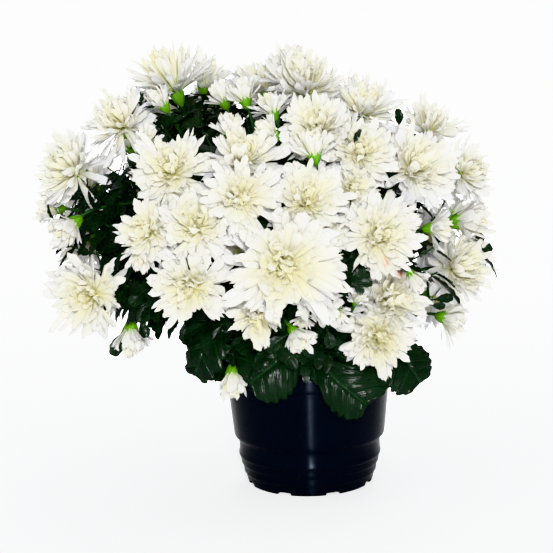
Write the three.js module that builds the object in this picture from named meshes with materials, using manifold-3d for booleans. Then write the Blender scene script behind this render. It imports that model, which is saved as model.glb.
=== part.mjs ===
// Pot chrysanthemum: a florist's plant in its plastic nursery pot.
// Millimetres, +Z up. The origin is the centre of the pot's flat underside.
//
// The pot holds the potting mix, five rooted cuttings stand in it, and each
// cutting branches into the side shoots that carry the flower heads. The heads
// sit on a loose dome that leans towards -X. Every head, large bud and large
// leaf is a piece of its own; small leaves and small buds are one with the
// shoot they grow on.

import * as THREE from 'three';
import { mergeVertices } from 'three/addons/utils/BufferGeometryUtils.js';
import Module from 'manifold-3d';

const wasm = await Module();
wasm.setup();

// ---------------------------------------------------------------- dimensions
const GAP = 0.3;              // clearance kept between neighbouring pieces

const POT_HEIGHT = 94;
const POT_BASE_R = 49.2;
const POT_RIM_R = 66.6;
const POT_FLOOR = 1.8;
const POT_SIDES = 32;
const NOTCH_COUNT = 8;        // drainage notches around the foot
const NOTCH_WIDTH = 13;
const NOTCH_HEIGHT = 3.4;

const SOIL_TOP = 79;          // potting mix, a finger's width below the rim
const SOIL_CROWN = 2.5;

const CROWN_FOOT = [0, 0, 78];      // the line that the cuttings fan out from
const CROWN_TOP = [-42, 0, 330];
const SECTORS = [-135, -70, -19, 40, 115];  // degrees, bounds between cuttings
const ROOT_RADIUS = 27;
const ROOT_DEPTH = 18;
const CANE_R = 3.2;           // woody lower part of a cutting
const CANE_BOW = 33;          // the cane's distance from the crown line, half way up
const CANE_TOP = 205;         // height of its tip; side shoots leave it all the way up
const SHOOT_FOOT = 98;        // height of the lowest side shoot
const SHOOT_R = 1.7;
const SHOOT_SIDES = 4;
const SHOOT_STEPS = 4;

const HEAD_SIDES = 9;
// a head's outline in units of its petal radius: [radius, height along its axis]
const HEAD_PROFILE = [[0, -0.58], [0.6, -0.31], [0.88, -0.02], [0.7, 0.24], [0, 0.4]];
const BUD_SIDES = 7;
// the same for a half-open head, in units of its own radius
const BUD_PROFILE = [[0, -0.95], [0.5, -0.66], [0.84, 0.7], [0, 1.05]];

const LEAF_THICK = 1.2;
const SMALL_LEAF_LENGTH = 27;
const SMALL_LEAF_WIDTH = 13;

// name, centre, facing direction, petal radius
const FLOWERS = [
  ['flower_01', [-92.8, -12.5, 322], [-0.083, -0.227, 0.97], 24.9],
  ['flower_03', [-133.8, -57.1, 285.1], [-0.426, -0.609, 0.669], 28.1],
  ['flower_04', [-169.8, -62.6, 253.2], [-0.451, -0.849, 0.276], 30.2],
  ['flower_05', [-92.4, -116.7, 249.8], [-0.127, -0.905, 0.407], 29.6],
  ['flower_06', [-39, -111.8, 259.6], [0.034, -0.642, 0.766], 27.1],
  ['flower_07', [-44.6, -134.9, 232.6], [0, -0.978, 0.208], 27.7],
  ['flower_08', [-108.8, -123.2, 210.9], [-0.3, -0.923, 0.242], 24.9],
  ['flower_09', [-76, -129.7, 213.9], [-0.08, -0.91, 0.407], 26.6],
  ['flower_10', [-80.9, -128.8, 172.3], [-0.174, -0.984, 0.035], 30.9],
  ['flower_11', [-155.5, -88.6, 163.4], [-0.406, -0.913, -0.035], 31.1],
  ['flower_12', [-16.9, -145.3, 187.2], [0, -0.985, 0.174], 38],
  ['flower_13', [6.8, -119.1, 204], [0.118, -0.84, 0.53], 24.3],
  ['flower_14', [-36.2, -112.7, 148.1], [-0.101, -0.965, -0.242], 26.1],
  ['flower_15', [-1, -127.5, 229], [0.031, -0.882, 0.469], 28.6],
  ['flower_16', [8.5, -100.4, 277.2], [0.03, -0.865, 0.5], 27.4],
  ['flower_17', [2.6, -24.1, 309.9], [-0.033, -0.468, 0.883], 34.4],
  ['flower_18', [44.8, -43.9, 290.5], [0.19, -0.586, 0.788], 26.3],
  ['flower_19', [37.7, -100.3, 259.4], [0.125, -0.89, 0.438], 26.1],
  ['flower_20', [98.4, -3.4, 276.3], [0.216, -0.484, 0.848], 26.9],
  ['flower_21', [77.7, -80.5, 248.2], [0.287, -0.882, 0.375], 31],
  ['flower_23', [48.2, -116.8, 202.6], [0.238, -0.956, 0.174], 31.2],
  ['flower_24', [47.5, -88, 124.5], [0.16, -0.98, -0.08], 31.5],
  ['flower_25', [57.5, -83.5, 154.5], [0.25, -0.956, 0.139], 29.9],
  ['flower_26', [126, -7, 240.4], [0.84, -0.446, 0.309], 25.4],
  ['flower_27', [116.6, -23.3, 168.2], [0.639, -0.762, 0.105], 32],
  ['flower_28', [-25, 42, 312], [0.059, 0.337, 0.94], 34],
  ['flower_29', [45, 28, 296], [0.25, 0.433, 0.866], 31],
  ['flower_30', [-95, 45, 286], [-0.308, 0.533, 0.788], 31],
  ['flower_31', [15, 95, 272], [0.137, 0.776, 0.616], 33],
  ['flower_32', [-55, 108, 258], [-0.075, 0.863, 0.5], 34],
  ['flower_33', [80, 70, 248], [0.636, 0.636, 0.438], 31],
  ['flower_34', [-130, 85, 232], [-0.629, 0.698, 0.342], 32],
  ['flower_35', [-15, 128, 214], [0.034, 0.978, 0.208], 34],
  ['flower_36', [48, 112, 198], [0.465, 0.874, 0.139], 31],
  ['flower_37', [-92, 122, 192], [-0.373, 0.922, 0.105], 32],
  ['flower_38', [105, 50, 186], [0.911, 0.406, 0.07], 31],
  ['flower_39', [-178, 32, 196], [-0.973, 0.207, 0.105], 31],
  ['flower_40', [-45, 116, 152], [-0.138, 0.985, -0.105], 30],
  ['flower_41', [28, 104, 142], [0.241, 0.965, -0.105], 28],
  ['flower_42', [-135, 78, 160], [-0.741, 0.668, -0.07], 29],
];

// half-open heads large enough to be pieces of their own
const LARGE_BUDS = [
  ['bud_04', [-54, -103, 283.5], [0.013, -0.194, 0.981], 12.4],
  ['bud_10', [-168.3, -86.4, 212.4], [-0.7, -0.524, -0.485], 12.7],
  ['bud_11', [-131, -62, 128.5], [-0.05, -0.28, -0.959], 15.5],
  ['bud_12', [-56.6, -80, 99], [0.012, -0.42, -0.908], 11.4],
  ['bud_14', [123.7, -18.6, 204.4], [0.895, -0.403, 0.192], 16],
  ['bud_18', [-9, -96.5, 131], [0.465, -0.609, -0.643], 12.7],
];

// lesser open heads grown on the leafy stems, which fill the dome between the others
const SIDE_HEADS = [
  ['side_head_01', [-72, 60, 302], [-0.25, 0.45, 0.86], 24],
  ['side_head_03', [-96, 88, 262], [-0.35, 0.75, 0.55], 26],
  ['side_head_04', [-19, 110, 248], [0.02, 0.9, 0.42], 24],
  ['side_head_05', [52, 84, 266], [0.35, 0.7, 0.62], 23],
  ['side_head_06', [18, 124, 172], [0.1, 0.99, 0.05], 25],
  ['side_head_07', [-54, 132, 198], [-0.1, 0.98, 0.15], 25],
  ['side_head_08', [-174, 40, 238], [-0.85, 0.1, 0.5], 27],
  ['side_head_09', [-108, 108, 154], [-0.5, 0.86, -0.08], 24],
  ['side_head_10', [112, 34, 236], [0.85, 0.3, 0.42], 25],
  ['side_head_11', [107, 26, 140], [0.95, 0.3, -0.08], 25],
  ['side_head_12', [-158, 10, 150], [-0.97, 0.1, -0.12], 25],
  ['side_head_13', [-8, 8, 326], [0.1, 0.1, 0.98], 22],
  ['side_head_14', [-128, 12, 292], [-0.55, 0.15, 0.82], 25],
  ['side_head_22', [30.6, -105.8, 235.1], [0.104, -0.985, 0.139], 20],
];

// half-open heads grown on the leafy stems
const SMALL_BUDS = [
  ['side_head_02', [-73, 9.9, 319.7], [0.203, -0.352, 0.914], 12.4],
  ['bud_01', [-102.6, -53.2, 299.3], [-0.496, -0.1, 0.863], 10.1],
  ['bud_02', [-58.3, -55.6, 300.9], [-0.362, 0.009, 0.932], 10.1],
  ['bud_03', [-43, -61.1, 302.4], [-0.301, -0.036, 0.953], 11.5],
  ['bud_05', [-23.2, -79.5, 292.2], [-0.314, -0.201, 0.928], 10.5],
  ['bud_06', [-25.8, -96.8, 274.8], [-0.824, -0.247, 0.51], 10.3],
  ['bud_07', [4.2, -117, 263.2], [-0.12, -0.258, 0.959], 12.1],
  ['bud_08', [25.9, -95.3, 273.3], [-0.122, -0.192, 0.974], 12.4],
  ['bud_09', [-184.5, -60.8, 224.7], [-0.946, -0.299, 0.123], 10.9],
  ['bud_13', [93.5, -70.5, 203.2], [0.95, -0.303, 0.077], 10.8],
  ['bud_15', [108.5, -28.9, 130], [0.897, -0.393, -0.204], 12.2],
  ['bud_16', [74.6, -86, 168.7], [0.52, -0.42, -0.74], 9.5],
  ['bud_17', [43.8, -108.7, 183.4], [0.238, -0.826, 0.511], 8.9],
  ['bud_19', [5.3, -111.4, 155.8], [0.07, -0.997, 0.041], 13.8],
  ['bud_20', [-114.6, -120.3, 192.6], [-0.143, -0.67, -0.729], 11.5],
  ['bud_21', [-140, 56, 268], [-0.503, 0.503, 0.704], 11],
  ['bud_22', [60, 96, 236], [0.503, 0.704, 0.503], 12],
  ['bud_23', [-30, 84, 294], [0, 0.45, 0.88], 12],
  ['bud_24', [-100, 104, 226], [-0.398, 0.896, 0.199], 13],
  ['bud_25', [72, 92, 168], [0.504, 0.858, -0.101], 12],
  ['bud_26', [-162, 58, 150], [-0.767, 0.563, -0.307], 13],
  ['bud_27', [-8, 122, 108], [0, 0.862, -0.507], 12],
  ['bud_28', [120, 12, 208], [0.913, 0.203, 0.355], 11],
];

// large leaves that hang over the rim: midrib points, half width, outward side
const LARGE_LEAVES = [
  ['leaf_1', [[-50, -58, 140], [-65, -78, 138], [-76, -88, 121], [-83, -86, 103]], 16, [-0.5, -0.8, 0.3]],
  ['leaf_2', [[-2, -56, 118], [-12, -77, 119], [-28, -87, 109], [-45, -85, 96]], 22, [-0.15, -0.95, 0.18]],
  ['leaf_3', [[9, -54, 108], [8.5, -78, 106], [24, -88, 92], [40, -87, 78]], 22, [-0.12, -0.95, 0.14]],
  ['leaf_4', [[50, -40, 117], [60, -55, 115], [71, -64, 105], [81, -64, 88.5]], 24, [0.45, -0.85, 0.3]],
  ['leaf_5', [[36, 44, 112], [50, 60, 114], [58, 72, 102], [62, 78, 80]], 20, [0.6, 0.75, 0.3]],
  ['leaf_6', [[-34, 44, 112], [-46, 62, 114], [-56, 74, 102], [-62, 80, 80]], 20, [-0.6, 0.75, 0.3]],
];

// ------------------------------------------------------------------- helpers
const vec = (a) => new THREE.Vector3(a[0], a[1], a[2]);

function solidOf(geometry) {
  let g = geometry.clone();
  g.deleteAttribute('normal');
  g.deleteAttribute('uv');
  g = mergeVertices(g, 1e-4);
  const pos = g.getAttribute('position');
  const index = Array.from(g.getIndex().array);
  const tri = [];
  let volume = 0;
  const a = new THREE.Vector3(), b = new THREE.Vector3(), c = new THREE.Vector3();
  for (let i = 0; i < index.length; i += 3) {
    const [p, q, r] = [index[i], index[i + 1], index[i + 2]];
    if (p === q || q === r || r === p) continue;
    tri.push(p, q, r);
    a.fromBufferAttribute(pos, p);
    b.fromBufferAttribute(pos, q);
    c.fromBufferAttribute(pos, r);
    volume += a.dot(b.clone().cross(c));
  }
  if (volume < 0) for (let i = 0; i < tri.length; i += 3) [tri[i], tri[i + 1]] = [tri[i + 1], tri[i]];
  const mesh = new wasm.Mesh({
    numProp: 3,
    vertProperties: new Float32Array(pos.array),
    triVerts: new Uint32Array(tri),
  });
  return new wasm.Manifold(mesh);
}

function geometryOf(solid) {
  const m = solid.getMesh();
  const g = new THREE.BufferGeometry();
  const p = new Float32Array((m.vertProperties.length / m.numProp) * 3);
  for (let i = 0, k = 0; i < m.vertProperties.length; i += m.numProp) {
    p[k++] = m.vertProperties[i];
    p[k++] = m.vertProperties[i + 1];
    p[k++] = m.vertProperties[i + 2];
  }
  g.setAttribute('position', new THREE.BufferAttribute(p, 3));
  g.setIndex(new THREE.BufferAttribute(new Uint32Array(m.triVerts), 1));
  g.computeVertexNormals();
  return g;
}

// a turned solid about +Z, then laid along an axis at a place
function turned(profile, sides, scale, place, axis) {
  const g = new THREE.LatheGeometry(profile.map(([r, h]) => new THREE.Vector2(r * scale, h * scale)), sides);
  g.rotateX(Math.PI / 2);
  if (axis) g.applyQuaternion(new THREE.Quaternion().setFromUnitVectors(new THREE.Vector3(0, 0, 1), axis.clone().normalize()));
  if (place) g.translate(place.x, place.y, place.z);
  return solidOf(g);
}

function tube(curve, radius, steps, sides) {
  const shape = new THREE.Shape();
  for (let i = 0; i < sides; i++) {
    const t = (i / sides) * 2 * Math.PI;
    const x = radius * Math.cos(t), y = radius * Math.sin(t);
    if (i === 0) shape.moveTo(x, y); else shape.lineTo(x, y);
  }
  shape.closePath();
  return solidOf(new THREE.ExtrudeGeometry(shape, { steps, bevelEnabled: false, extrudePath: curve, curveSegments: 1 }));
}

// a leaf blade as a thin closed shell along a midrib, with lobed edges
function blade(points, halfWidth, outward, rows, grow, lobes) {
  const curve = new THREE.CatmullRomCurve3(points.map(vec));
  const across = [-1, 0, 1];
  const top = [], bottom = [];
  for (let i = 0; i <= rows; i++) {
    const u = i / rows;
    const c = curve.getPoint(u);
    const t = curve.getTangent(u);
    const side = t.clone().cross(vec(outward)).normalize();
    const up = side.clone().cross(t).normalize();
    let w = halfWidth * (0.18 + 0.95 * Math.sin(Math.PI * Math.min(1, 0.06 + 0.9 * u)) ** 0.8);
    if (lobes && i > 0 && i < rows) w *= i % 2 ? 1.06 : 0.84;
    w += grow;
    for (const s of across) {
      const edge = c.clone().addScaledVector(side, s * w).addScaledVector(up, -0.16 * w * s * s);
      top.push(edge.clone().addScaledVector(up, LEAF_THICK / 2 + grow));
      bottom.push(edge.clone().addScaledVector(up, -LEAF_THICK / 2 - grow));
    }
  }
  const n = across.length, verts = [...top, ...bottom], half = top.length, idx = [];
  const quad = (a, b, c, d) => idx.push(a, b, c, a, c, d);
  for (let i = 0; i < rows; i++) {
    for (let j = 0; j < n - 1; j++) {
      const a = i * n + j;
      quad(a, a + 1, a + n + 1, a + n);
      quad(half + a, half + a + n, half + a + n + 1, half + a + 1);
    }
    const l = i * n, r = i * n + n - 1;
    quad(l, l + n, half + l + n, half + l);
    quad(r, half + r, half + r + n, r + n);
  }
  for (let j = 0; j < n - 1; j++) {
    const f = j, e = rows * n + j;
    quad(f, half + f, half + f + 1, f + 1);
    quad(e, e + 1, half + e + 1, half + e);
  }
  const g = new THREE.BufferGeometry();
  g.setAttribute('position', new THREE.BufferAttribute(new Float32Array(verts.flatMap((v) => [v.x, v.y, v.z])), 3));
  g.setIndex(idx);
  return solidOf(g);
}

// a small leaf: a thin kite with a raised midrib
function smallLeaf(at, dir, normal) {
  const side = dir.clone().cross(normal).normalize();
  const up = side.clone().cross(dir).normalize();
  const point = (along, across, lift) => at.clone().addScaledVector(dir, along * SMALL_LEAF_LENGTH)
    .addScaledVector(side, across * SMALL_LEAF_WIDTH).addScaledVector(up, lift);
  const verts = [point(-0.02, 0, 0), point(0.5, -0.5, 0.6), point(1, 0, -2), point(0.5, 0.5, 0.6), point(0.5, 0, 2.4), point(0.5, 0, -0.9)];
  const g = new THREE.BufferGeometry();
  g.setAttribute('position', new THREE.BufferAttribute(new Float32Array(verts.flatMap((v) => [v.x, v.y, v.z])), 3));
  g.setIndex([0, 1, 4, 1, 2, 4, 2, 3, 4, 3, 0, 4, 1, 0, 5, 2, 1, 5, 3, 2, 5, 0, 3, 5]);
  return solidOf(g);
}

const cutBy = (solid, normal, offset) => solid.trimByPlane([normal.x, normal.y, normal.z], offset);

function largest(solid) {
  const parts = solid.decompose();
  let best = parts[0];
  for (const p of parts) if (p.volume() > best.volume()) best = p;
  return best;
}

const material = (colour, roughness) => new THREE.MeshStandardMaterial({ color: colour, roughness, metalness: 0 });
const PETAL = material(0xf6f5e6, 0.6);
const GREEN = material(0x123c1c, 0.4);
const STEM = material(0x2f6a28, 0.55);
const PLASTIC = material(0x0a0e1a, 0.3);
const PEAT = material(0x2a1c12, 0.95);

const plant = new THREE.Group();
const add = (name, solid, mat) => {
  const mesh = new THREE.Mesh(geometryOf(solid), mat);
  mesh.name = name;
  plant.add(mesh);
};

// ----------------------------------------------------------------------- pot
// outside of the wall from the foot up: ribbed lower part, step, plain band, rim
const OUTSIDE = [
  [POT_BASE_R, 0], [50.6, 4.5], [51.9, 8.5], [52.2, 12], [54.2, 15], [54.4, 18.7], [55.7, 22], [55.8, 25.8],
  [55.6, 33], [59.5, 38], [60, 43], [62.3, 65], [64.1, 82.4], [65.6, 83.4], [POT_RIM_R, 92.8], [66.1, POT_HEIGHT],
];
const INSIDE = [
  [64.4, POT_HEIGHT], [63.9, 84], [62.6, 80], [60.8, 65], [58.5, 43], [54.2, 36], [54, 26], [50.4, 8.5], [48.2, POT_FLOOR],
];
{
  const profile = [[0, 0], ...OUTSIDE, ...INSIDE, [0, POT_FLOOR]];
  let pot = turned(profile, POT_SIDES, 1);
  for (let k = 0; k < NOTCH_COUNT; k++) {
    const notch = new THREE.BoxGeometry(16, NOTCH_WIDTH, NOTCH_HEIGHT * 2);
    notch.translate(POT_BASE_R + 1, 0, 0);
    notch.rotateZ(((k + 0.42) * 2 * Math.PI) / NOTCH_COUNT);
    pot = pot.subtract(solidOf(notch));
  }
  add('pot', pot, PLASTIC);
}

// ------------------------------------------------- heads and large buds
const heads = [];
for (const [name, p, d, r] of FLOWERS) heads.push({ name, p: vec(p), d: vec(d).normalize(), r, profile: HEAD_PROFILE, sides: HEAD_SIDES, thin: 0.36, own: true });
for (const [name, p, d, r] of LARGE_BUDS) heads.push({ name, p: vec(p), d: vec(d).normalize(), r, profile: BUD_PROFILE, sides: BUD_SIDES, thin: 0.45, own: true });
for (const [name, p, d, r] of SIDE_HEADS) heads.push({ name, p: vec(p), d: vec(d).normalize(), r, profile: HEAD_PROFILE, sides: 8, thin: 0.36, own: false });
for (const [name, p, d, r] of SMALL_BUDS) heads.push({ name, p: vec(p), d: vec(d).normalize(), r, profile: BUD_PROFILE, sides: 6, thin: 0.45, own: false });

for (const h of heads) {
  h.planes = [];
  h.reach = h.profile === HEAD_PROFILE ? 0.86 * h.r : 1.05 * h.r;
}
for (let i = 0; i < heads.length; i++) {
  for (let j = 0; j < i; j++) {
    const a = heads[i], b = heads[j];
    const gap = b.p.clone().sub(a.p);
    const dist = gap.length();
    if (dist >= a.reach + b.reach) continue;
    gap.normalize();
    const at = (dist * a.reach) / (a.reach + b.reach);
    const mid = a.p.clone().addScaledVector(gap, at);
    a.planes.push([gap.clone().negate(), -mid.dot(gap)]);
    b.planes.push([gap.clone(), mid.dot(gap)]);
  }
}
function headSolid(h, grow) {
  const s = 1 + grow / (h.thin * h.r);
  let solid = turned(h.profile, h.sides, h.r * s, h.p, h.d);
  for (const [n, off] of h.planes) solid = cutBy(solid, n, off + GAP / 2 + 0.02 - grow);
  return solid;
}
const spaces = [];
for (const h of heads) {
  h.solid = headSolid(h, 0);
  h.space = headSolid(h, GAP + 0.08);
  if (h.own) {
    add(h.name, h.solid, PETAL);
    spaces.push(h.space);
  }
}
const headSpace = wasm.Manifold.union(spaces);

// -------------------------------------------------------------- leafy stems
const foot = vec(CROWN_FOOT), crown = vec(CROWN_TOP);
const crownAt = (z) => foot.clone().lerp(crown, (z - foot.z) / (crown.z - foot.z));
const bearing = (p) => {
  const c = crownAt(p.z);
  return (Math.atan2(p.y - c.y, p.x - c.x) * 180) / Math.PI;
};
const inside = (angle, from, to) => ((angle - from + 720) % 360) < ((to - from + 720) % 360);

// a plane through the crown line at a bearing; its normal points to larger bearings
function sectorPlane(degrees) {
  const a = (degrees * Math.PI) / 180;
  const along = crown.clone().sub(foot).normalize();
  const radial = new THREE.Vector3(Math.cos(a), Math.sin(a), 0);
  const n = along.clone().cross(radial).normalize();
  return [n, n.dot(foot)];
}

let rootSpace = null;
const stems = [];
SECTORS.forEach((from, k) => {
  const to = SECTORS[(k + 1) % SECTORS.length];
  const width = (to - from + 360) % 360;
  const mid = ((from + width / 2) * Math.PI) / 180;
  const outward = new THREE.Vector3(Math.cos(mid), Math.sin(mid), 0);
  const root = foot.clone().addScaledVector(outward, ROOT_RADIUS).setZ(SOIL_TOP - ROOT_DEPTH);
  const tip = crownAt(CANE_TOP).addScaledVector(outward, CANE_BOW + 4);
  const build = [];
  const cane = new THREE.CatmullRomCurve3([root, root.clone().setZ(SOIL_TOP + 4), crownAt(140).addScaledVector(outward, CANE_BOW), tip]);
  build.push(tube(cane, CANE_R, 7, 6));
  const hole = tube(new THREE.LineCurve3(root.clone().setZ(root.z - GAP), root.clone().setZ(SOIL_TOP + 12)), CANE_R + GAP + 0.5, 1, 6);
  rootSpace = rootSpace ? rootSpace.add(hole) : hole;

  const mine = heads.filter((h) => inside(bearing(h.p), from, to));
  mine.forEach((h, m) => {
    const back = h.p.clone().addScaledVector(h.d, -0.2 * h.r);
    const level = Math.min(1, Math.max(0, (h.p.z - 100) / 200));
    const start = cane.getPoint(0.36 + 0.6 * level);
    start.z = Math.max(start.z, SHOOT_FOOT);
    const span = back.distanceTo(start);
    const lean = h.p.clone().addScaledVector(h.d, -Math.min(h.profile === HEAD_PROFILE ? 40 : 17, 0.42 * span));
    const rise = start.clone().lerp(lean, 0.5).add(new THREE.Vector3(0, 0, 5));
    const path = new THREE.CatmullRomCurve3([start, rise, lean, back]);
    build.push(tube(path, SHOOT_R, SHOOT_STEPS, SHOOT_SIDES));
    if (!h.own) build.push(h.solid);
    // small leaves along the shoot, turned to alternate sides
    if (m % 2 === 0) {
      const at = path.getPointAt(m % 4 ? 0.5 : 0.75), t = path.getTangentAt(0.6);
      const side = t.clone().cross(new THREE.Vector3(0, 0, 1)).normalize().multiplyScalar(m % 4 ? 1 : -1);
      const dir = side.clone().multiplyScalar(0.8).addScaledVector(t, 0.6).normalize();
      build.push(smallLeaf(at, dir, dir.clone().cross(t).cross(dir).normalize().add(new THREE.Vector3(0, 0, 0.6)).normalize()));
    }
  });
  let solid = wasm.Manifold.union(build);
  const [n0, o0] = sectorPlane(from);
  const [n1, o1] = sectorPlane(to);
  solid = cutBy(solid, n0, o0 + GAP / 2 + 0.02);
  solid = cutBy(solid, n1.clone().negate(), -o1 + GAP / 2 + 0.02);
  stems.push({ name: `leafy_stem_${k + 1}`, solid, own: mine });
});

// -------------------------------------------------------------- large leaves
const leafSpaces = [];
const leaves = LARGE_LEAVES.map(([name, points, halfWidth, outward]) => {
  leafSpaces.push(blade(points, halfWidth, outward, 8, GAP + 0.05, true));
  return { name, solid: blade(points, halfWidth, outward, 8, 0, true) };
});
const leafSpace = wasm.Manifold.union(leafSpaces);
leaves.forEach((leaf, i) => {
  let solid = leaf.solid.subtract(headSpace);
  for (const earlier of leafSpaces.slice(0, i)) solid = solid.subtract(earlier);
  add(leaf.name, largest(solid), GREEN);
});

for (const stem of stems) {
  const cut = stem.solid.subtract(headSpace).subtract(leafSpace);
  add(stem.name, largest(cut), STEM);
}

// ---------------------------------------------------------------------- soil
{
  const profile = [[0, POT_FLOOR + GAP]];
  for (const [r, z] of [...INSIDE].reverse()) if (z <= SOIL_TOP && z >= POT_FLOOR) profile.push([r - GAP - 0.15, Math.max(z, POT_FLOOR + GAP)]);
  profile.push([62.2 - GAP - 0.15, SOIL_TOP - 2], [50, SOIL_TOP], [20, SOIL_TOP + SOIL_CROWN * 0.6], [0, SOIL_TOP + SOIL_CROWN]);
  const soil = turned(profile, 24, 1).subtract(rootSpace);
  add('soil', soil, PEAT);
}

export default plant;
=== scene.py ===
"""Pot chrysanthemum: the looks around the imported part. Metres, +Z up, the origin under the pot."""
import math

import bpy
import numpy as np
from mathutils import Matrix, Vector


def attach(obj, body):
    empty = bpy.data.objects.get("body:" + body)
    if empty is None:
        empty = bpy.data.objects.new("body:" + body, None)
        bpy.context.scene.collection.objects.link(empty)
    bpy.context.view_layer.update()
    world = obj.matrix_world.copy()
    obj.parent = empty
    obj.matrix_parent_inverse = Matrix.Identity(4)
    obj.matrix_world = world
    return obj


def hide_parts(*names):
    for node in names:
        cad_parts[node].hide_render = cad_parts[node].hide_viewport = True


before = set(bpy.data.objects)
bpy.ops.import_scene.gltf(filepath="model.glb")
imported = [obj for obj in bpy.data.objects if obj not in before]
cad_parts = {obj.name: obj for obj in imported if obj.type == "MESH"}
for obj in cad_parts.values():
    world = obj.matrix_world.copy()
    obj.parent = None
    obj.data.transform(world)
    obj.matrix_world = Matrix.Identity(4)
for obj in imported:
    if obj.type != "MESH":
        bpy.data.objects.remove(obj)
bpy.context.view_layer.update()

MM = 0.001
TAU = 2 * math.pi
rng = np.random.default_rng(4107)

# ------------------------------------------------------------------ the plant
# The same table as the part's: name, centre, facing direction, petal radius, in millimetres.
FLOWERS = [
    ("flower_01", (-92.8, -12.5, 322), (-0.083, -0.227, 0.97), 24.9),
    ("flower_03", (-133.8, -57.1, 285.1), (-0.426, -0.609, 0.669), 28.1),
    ("flower_04", (-169.8, -62.6, 253.2), (-0.451, -0.849, 0.276), 30.2),
    ("flower_05", (-92.4, -116.7, 249.8), (-0.127, -0.905, 0.407), 29.6),
    ("flower_06", (-39, -111.8, 259.6), (0.034, -0.642, 0.766), 27.1),
    ("flower_07", (-44.6, -134.9, 232.6), (0, -0.978, 0.208), 27.7),
    ("flower_08", (-108.8, -123.2, 210.9), (-0.3, -0.923, 0.242), 24.9),
    ("flower_09", (-76, -129.7, 213.9), (-0.08, -0.91, 0.407), 26.6),
    ("flower_10", (-80.9, -128.8, 172.3), (-0.174, -0.984, 0.035), 30.9),
    ("flower_11", (-155.5, -88.6, 163.4), (-0.406, -0.913, -0.035), 31.1),
    ("flower_12", (-16.9, -145.3, 187.2), (0, -0.985, 0.174), 38),
    ("flower_13", (6.8, -119.1, 204), (0.118, -0.84, 0.53), 24.3),
    ("flower_14", (-36.2, -112.7, 148.1), (-0.101, -0.965, -0.242), 26.1),
    ("flower_15", (-1, -127.5, 229), (0.031, -0.882, 0.469), 28.6),
    ("flower_16", (8.5, -100.4, 277.2), (0.03, -0.865, 0.5), 27.4),
    ("flower_17", (2.6, -24.1, 309.9), (-0.033, -0.468, 0.883), 34.4),
    ("flower_18", (44.8, -43.9, 290.5), (0.19, -0.586, 0.788), 26.3),
    ("flower_19", (37.7, -100.3, 259.4), (0.125, -0.89, 0.438), 26.1),
    ("flower_20", (98.4, -3.4, 276.3), (0.216, -0.484, 0.848), 26.9),
    ("flower_21", (77.7, -80.5, 248.2), (0.287, -0.882, 0.375), 31),
    ("flower_23", (48.2, -116.8, 202.6), (0.238, -0.956, 0.174), 31.2),
    ("flower_24", (47.5, -88.0, 124.5), (0.16, -0.98, -0.08), 31.5),
    ("flower_25", (57.5, -83.5, 154.5), (0.250, -0.956, 0.139), 29.9),
    ("flower_26", (126, -7, 240.4), (0.84, -0.446, 0.309), 25.4),
    ("flower_27", (116.6, -23.3, 168.2), (0.639, -0.762, 0.105), 32),
    ("flower_28", (-25, 42, 312), (0.059, 0.337, 0.94), 34),
    ("flower_29", (45, 28, 296), (0.25, 0.433, 0.866), 31),
    ("flower_30", (-95, 45, 286), (-0.308, 0.533, 0.788), 31),
    ("flower_31", (15, 95, 272), (0.137, 0.776, 0.616), 33),
    ("flower_32", (-55, 108, 258), (-0.075, 0.863, 0.5), 34),
    ("flower_33", (80, 70, 248), (0.636, 0.636, 0.438), 31),
    ("flower_34", (-130, 85, 232), (-0.629, 0.698, 0.342), 32),
    ("flower_35", (-15, 128, 214), (0.034, 0.978, 0.208), 34),
    ("flower_36", (48, 112, 198), (0.465, 0.874, 0.139), 31),
    ("flower_37", (-92, 122, 192), (-0.373, 0.922, 0.105), 32),
    ("flower_38", (105, 50, 186), (0.911, 0.406, 0.07), 31),
    ("flower_39", (-178, 32, 196), (-0.973, 0.207, 0.105), 31),
    ("flower_40", (-45, 116, 152), (-0.138, 0.985, -0.105), 30),
    ("flower_41", (28, 104, 142), (0.241, 0.965, -0.105), 28),
    ("flower_42", (-135, 78, 160), (-0.741, 0.668, -0.07), 29),
]
SIDE_HEADS = [
    ("side_head_01", (-72, 60, 302), (-0.25, 0.45, 0.86), 24),
    ("side_head_03", (-96, 88, 262), (-0.35, 0.75, 0.55), 26),
    ("side_head_04", (-19, 110, 248), (0.02, 0.9, 0.42), 24),
    ("side_head_05", (52, 84, 266), (0.35, 0.7, 0.62), 23),
    ("side_head_06", (18, 124, 172), (0.1, 0.99, 0.05), 25),
    ("side_head_07", (-54, 132, 198), (-0.1, 0.98, 0.15), 25),
    ("side_head_08", (-174, 40, 238), (-0.85, 0.1, 0.5), 27),
    ("side_head_09", (-108, 108, 154), (-0.5, 0.86, -0.08), 24),
    ("side_head_10", (112, 34, 236), (0.85, 0.3, 0.42), 25),
    ("side_head_11", (107, 26, 140), (0.95, 0.3, -0.08), 25),
    ("side_head_12", (-158, 10, 150), (-0.97, 0.1, -0.12), 25),
    ("side_head_13", (-8, 8, 326), (0.1, 0.1, 0.98), 22),
    ("side_head_14", (-128, 12, 292), (-0.55, 0.15, 0.82), 25),
    ("side_head_22", (30.6, -105.8, 235.1), (0.104, -0.985, 0.139), 20),
]
LARGE_BUDS = [
    ("bud_04", (-54.0, -103, 283.5), (0.013, -0.194, 0.981), 12.4),
    ("bud_10", (-168.3, -86.4, 212.4), (-0.7, -0.524, -0.485), 12.7),
    ("bud_11", (-131.0, -62.0, 128.5), (-0.05, -0.28, -0.959), 15.5),
    ("bud_12", (-56.6, -80, 99.0), (0.012, -0.42, -0.908), 11.4),
    ("bud_14", (123.7, -18.6, 204.4), (0.895, -0.403, 0.192), 16),
    ("bud_18", (-9.0, -96.5, 131.0), (0.465, -0.609, -0.643), 12.7),
]
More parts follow.
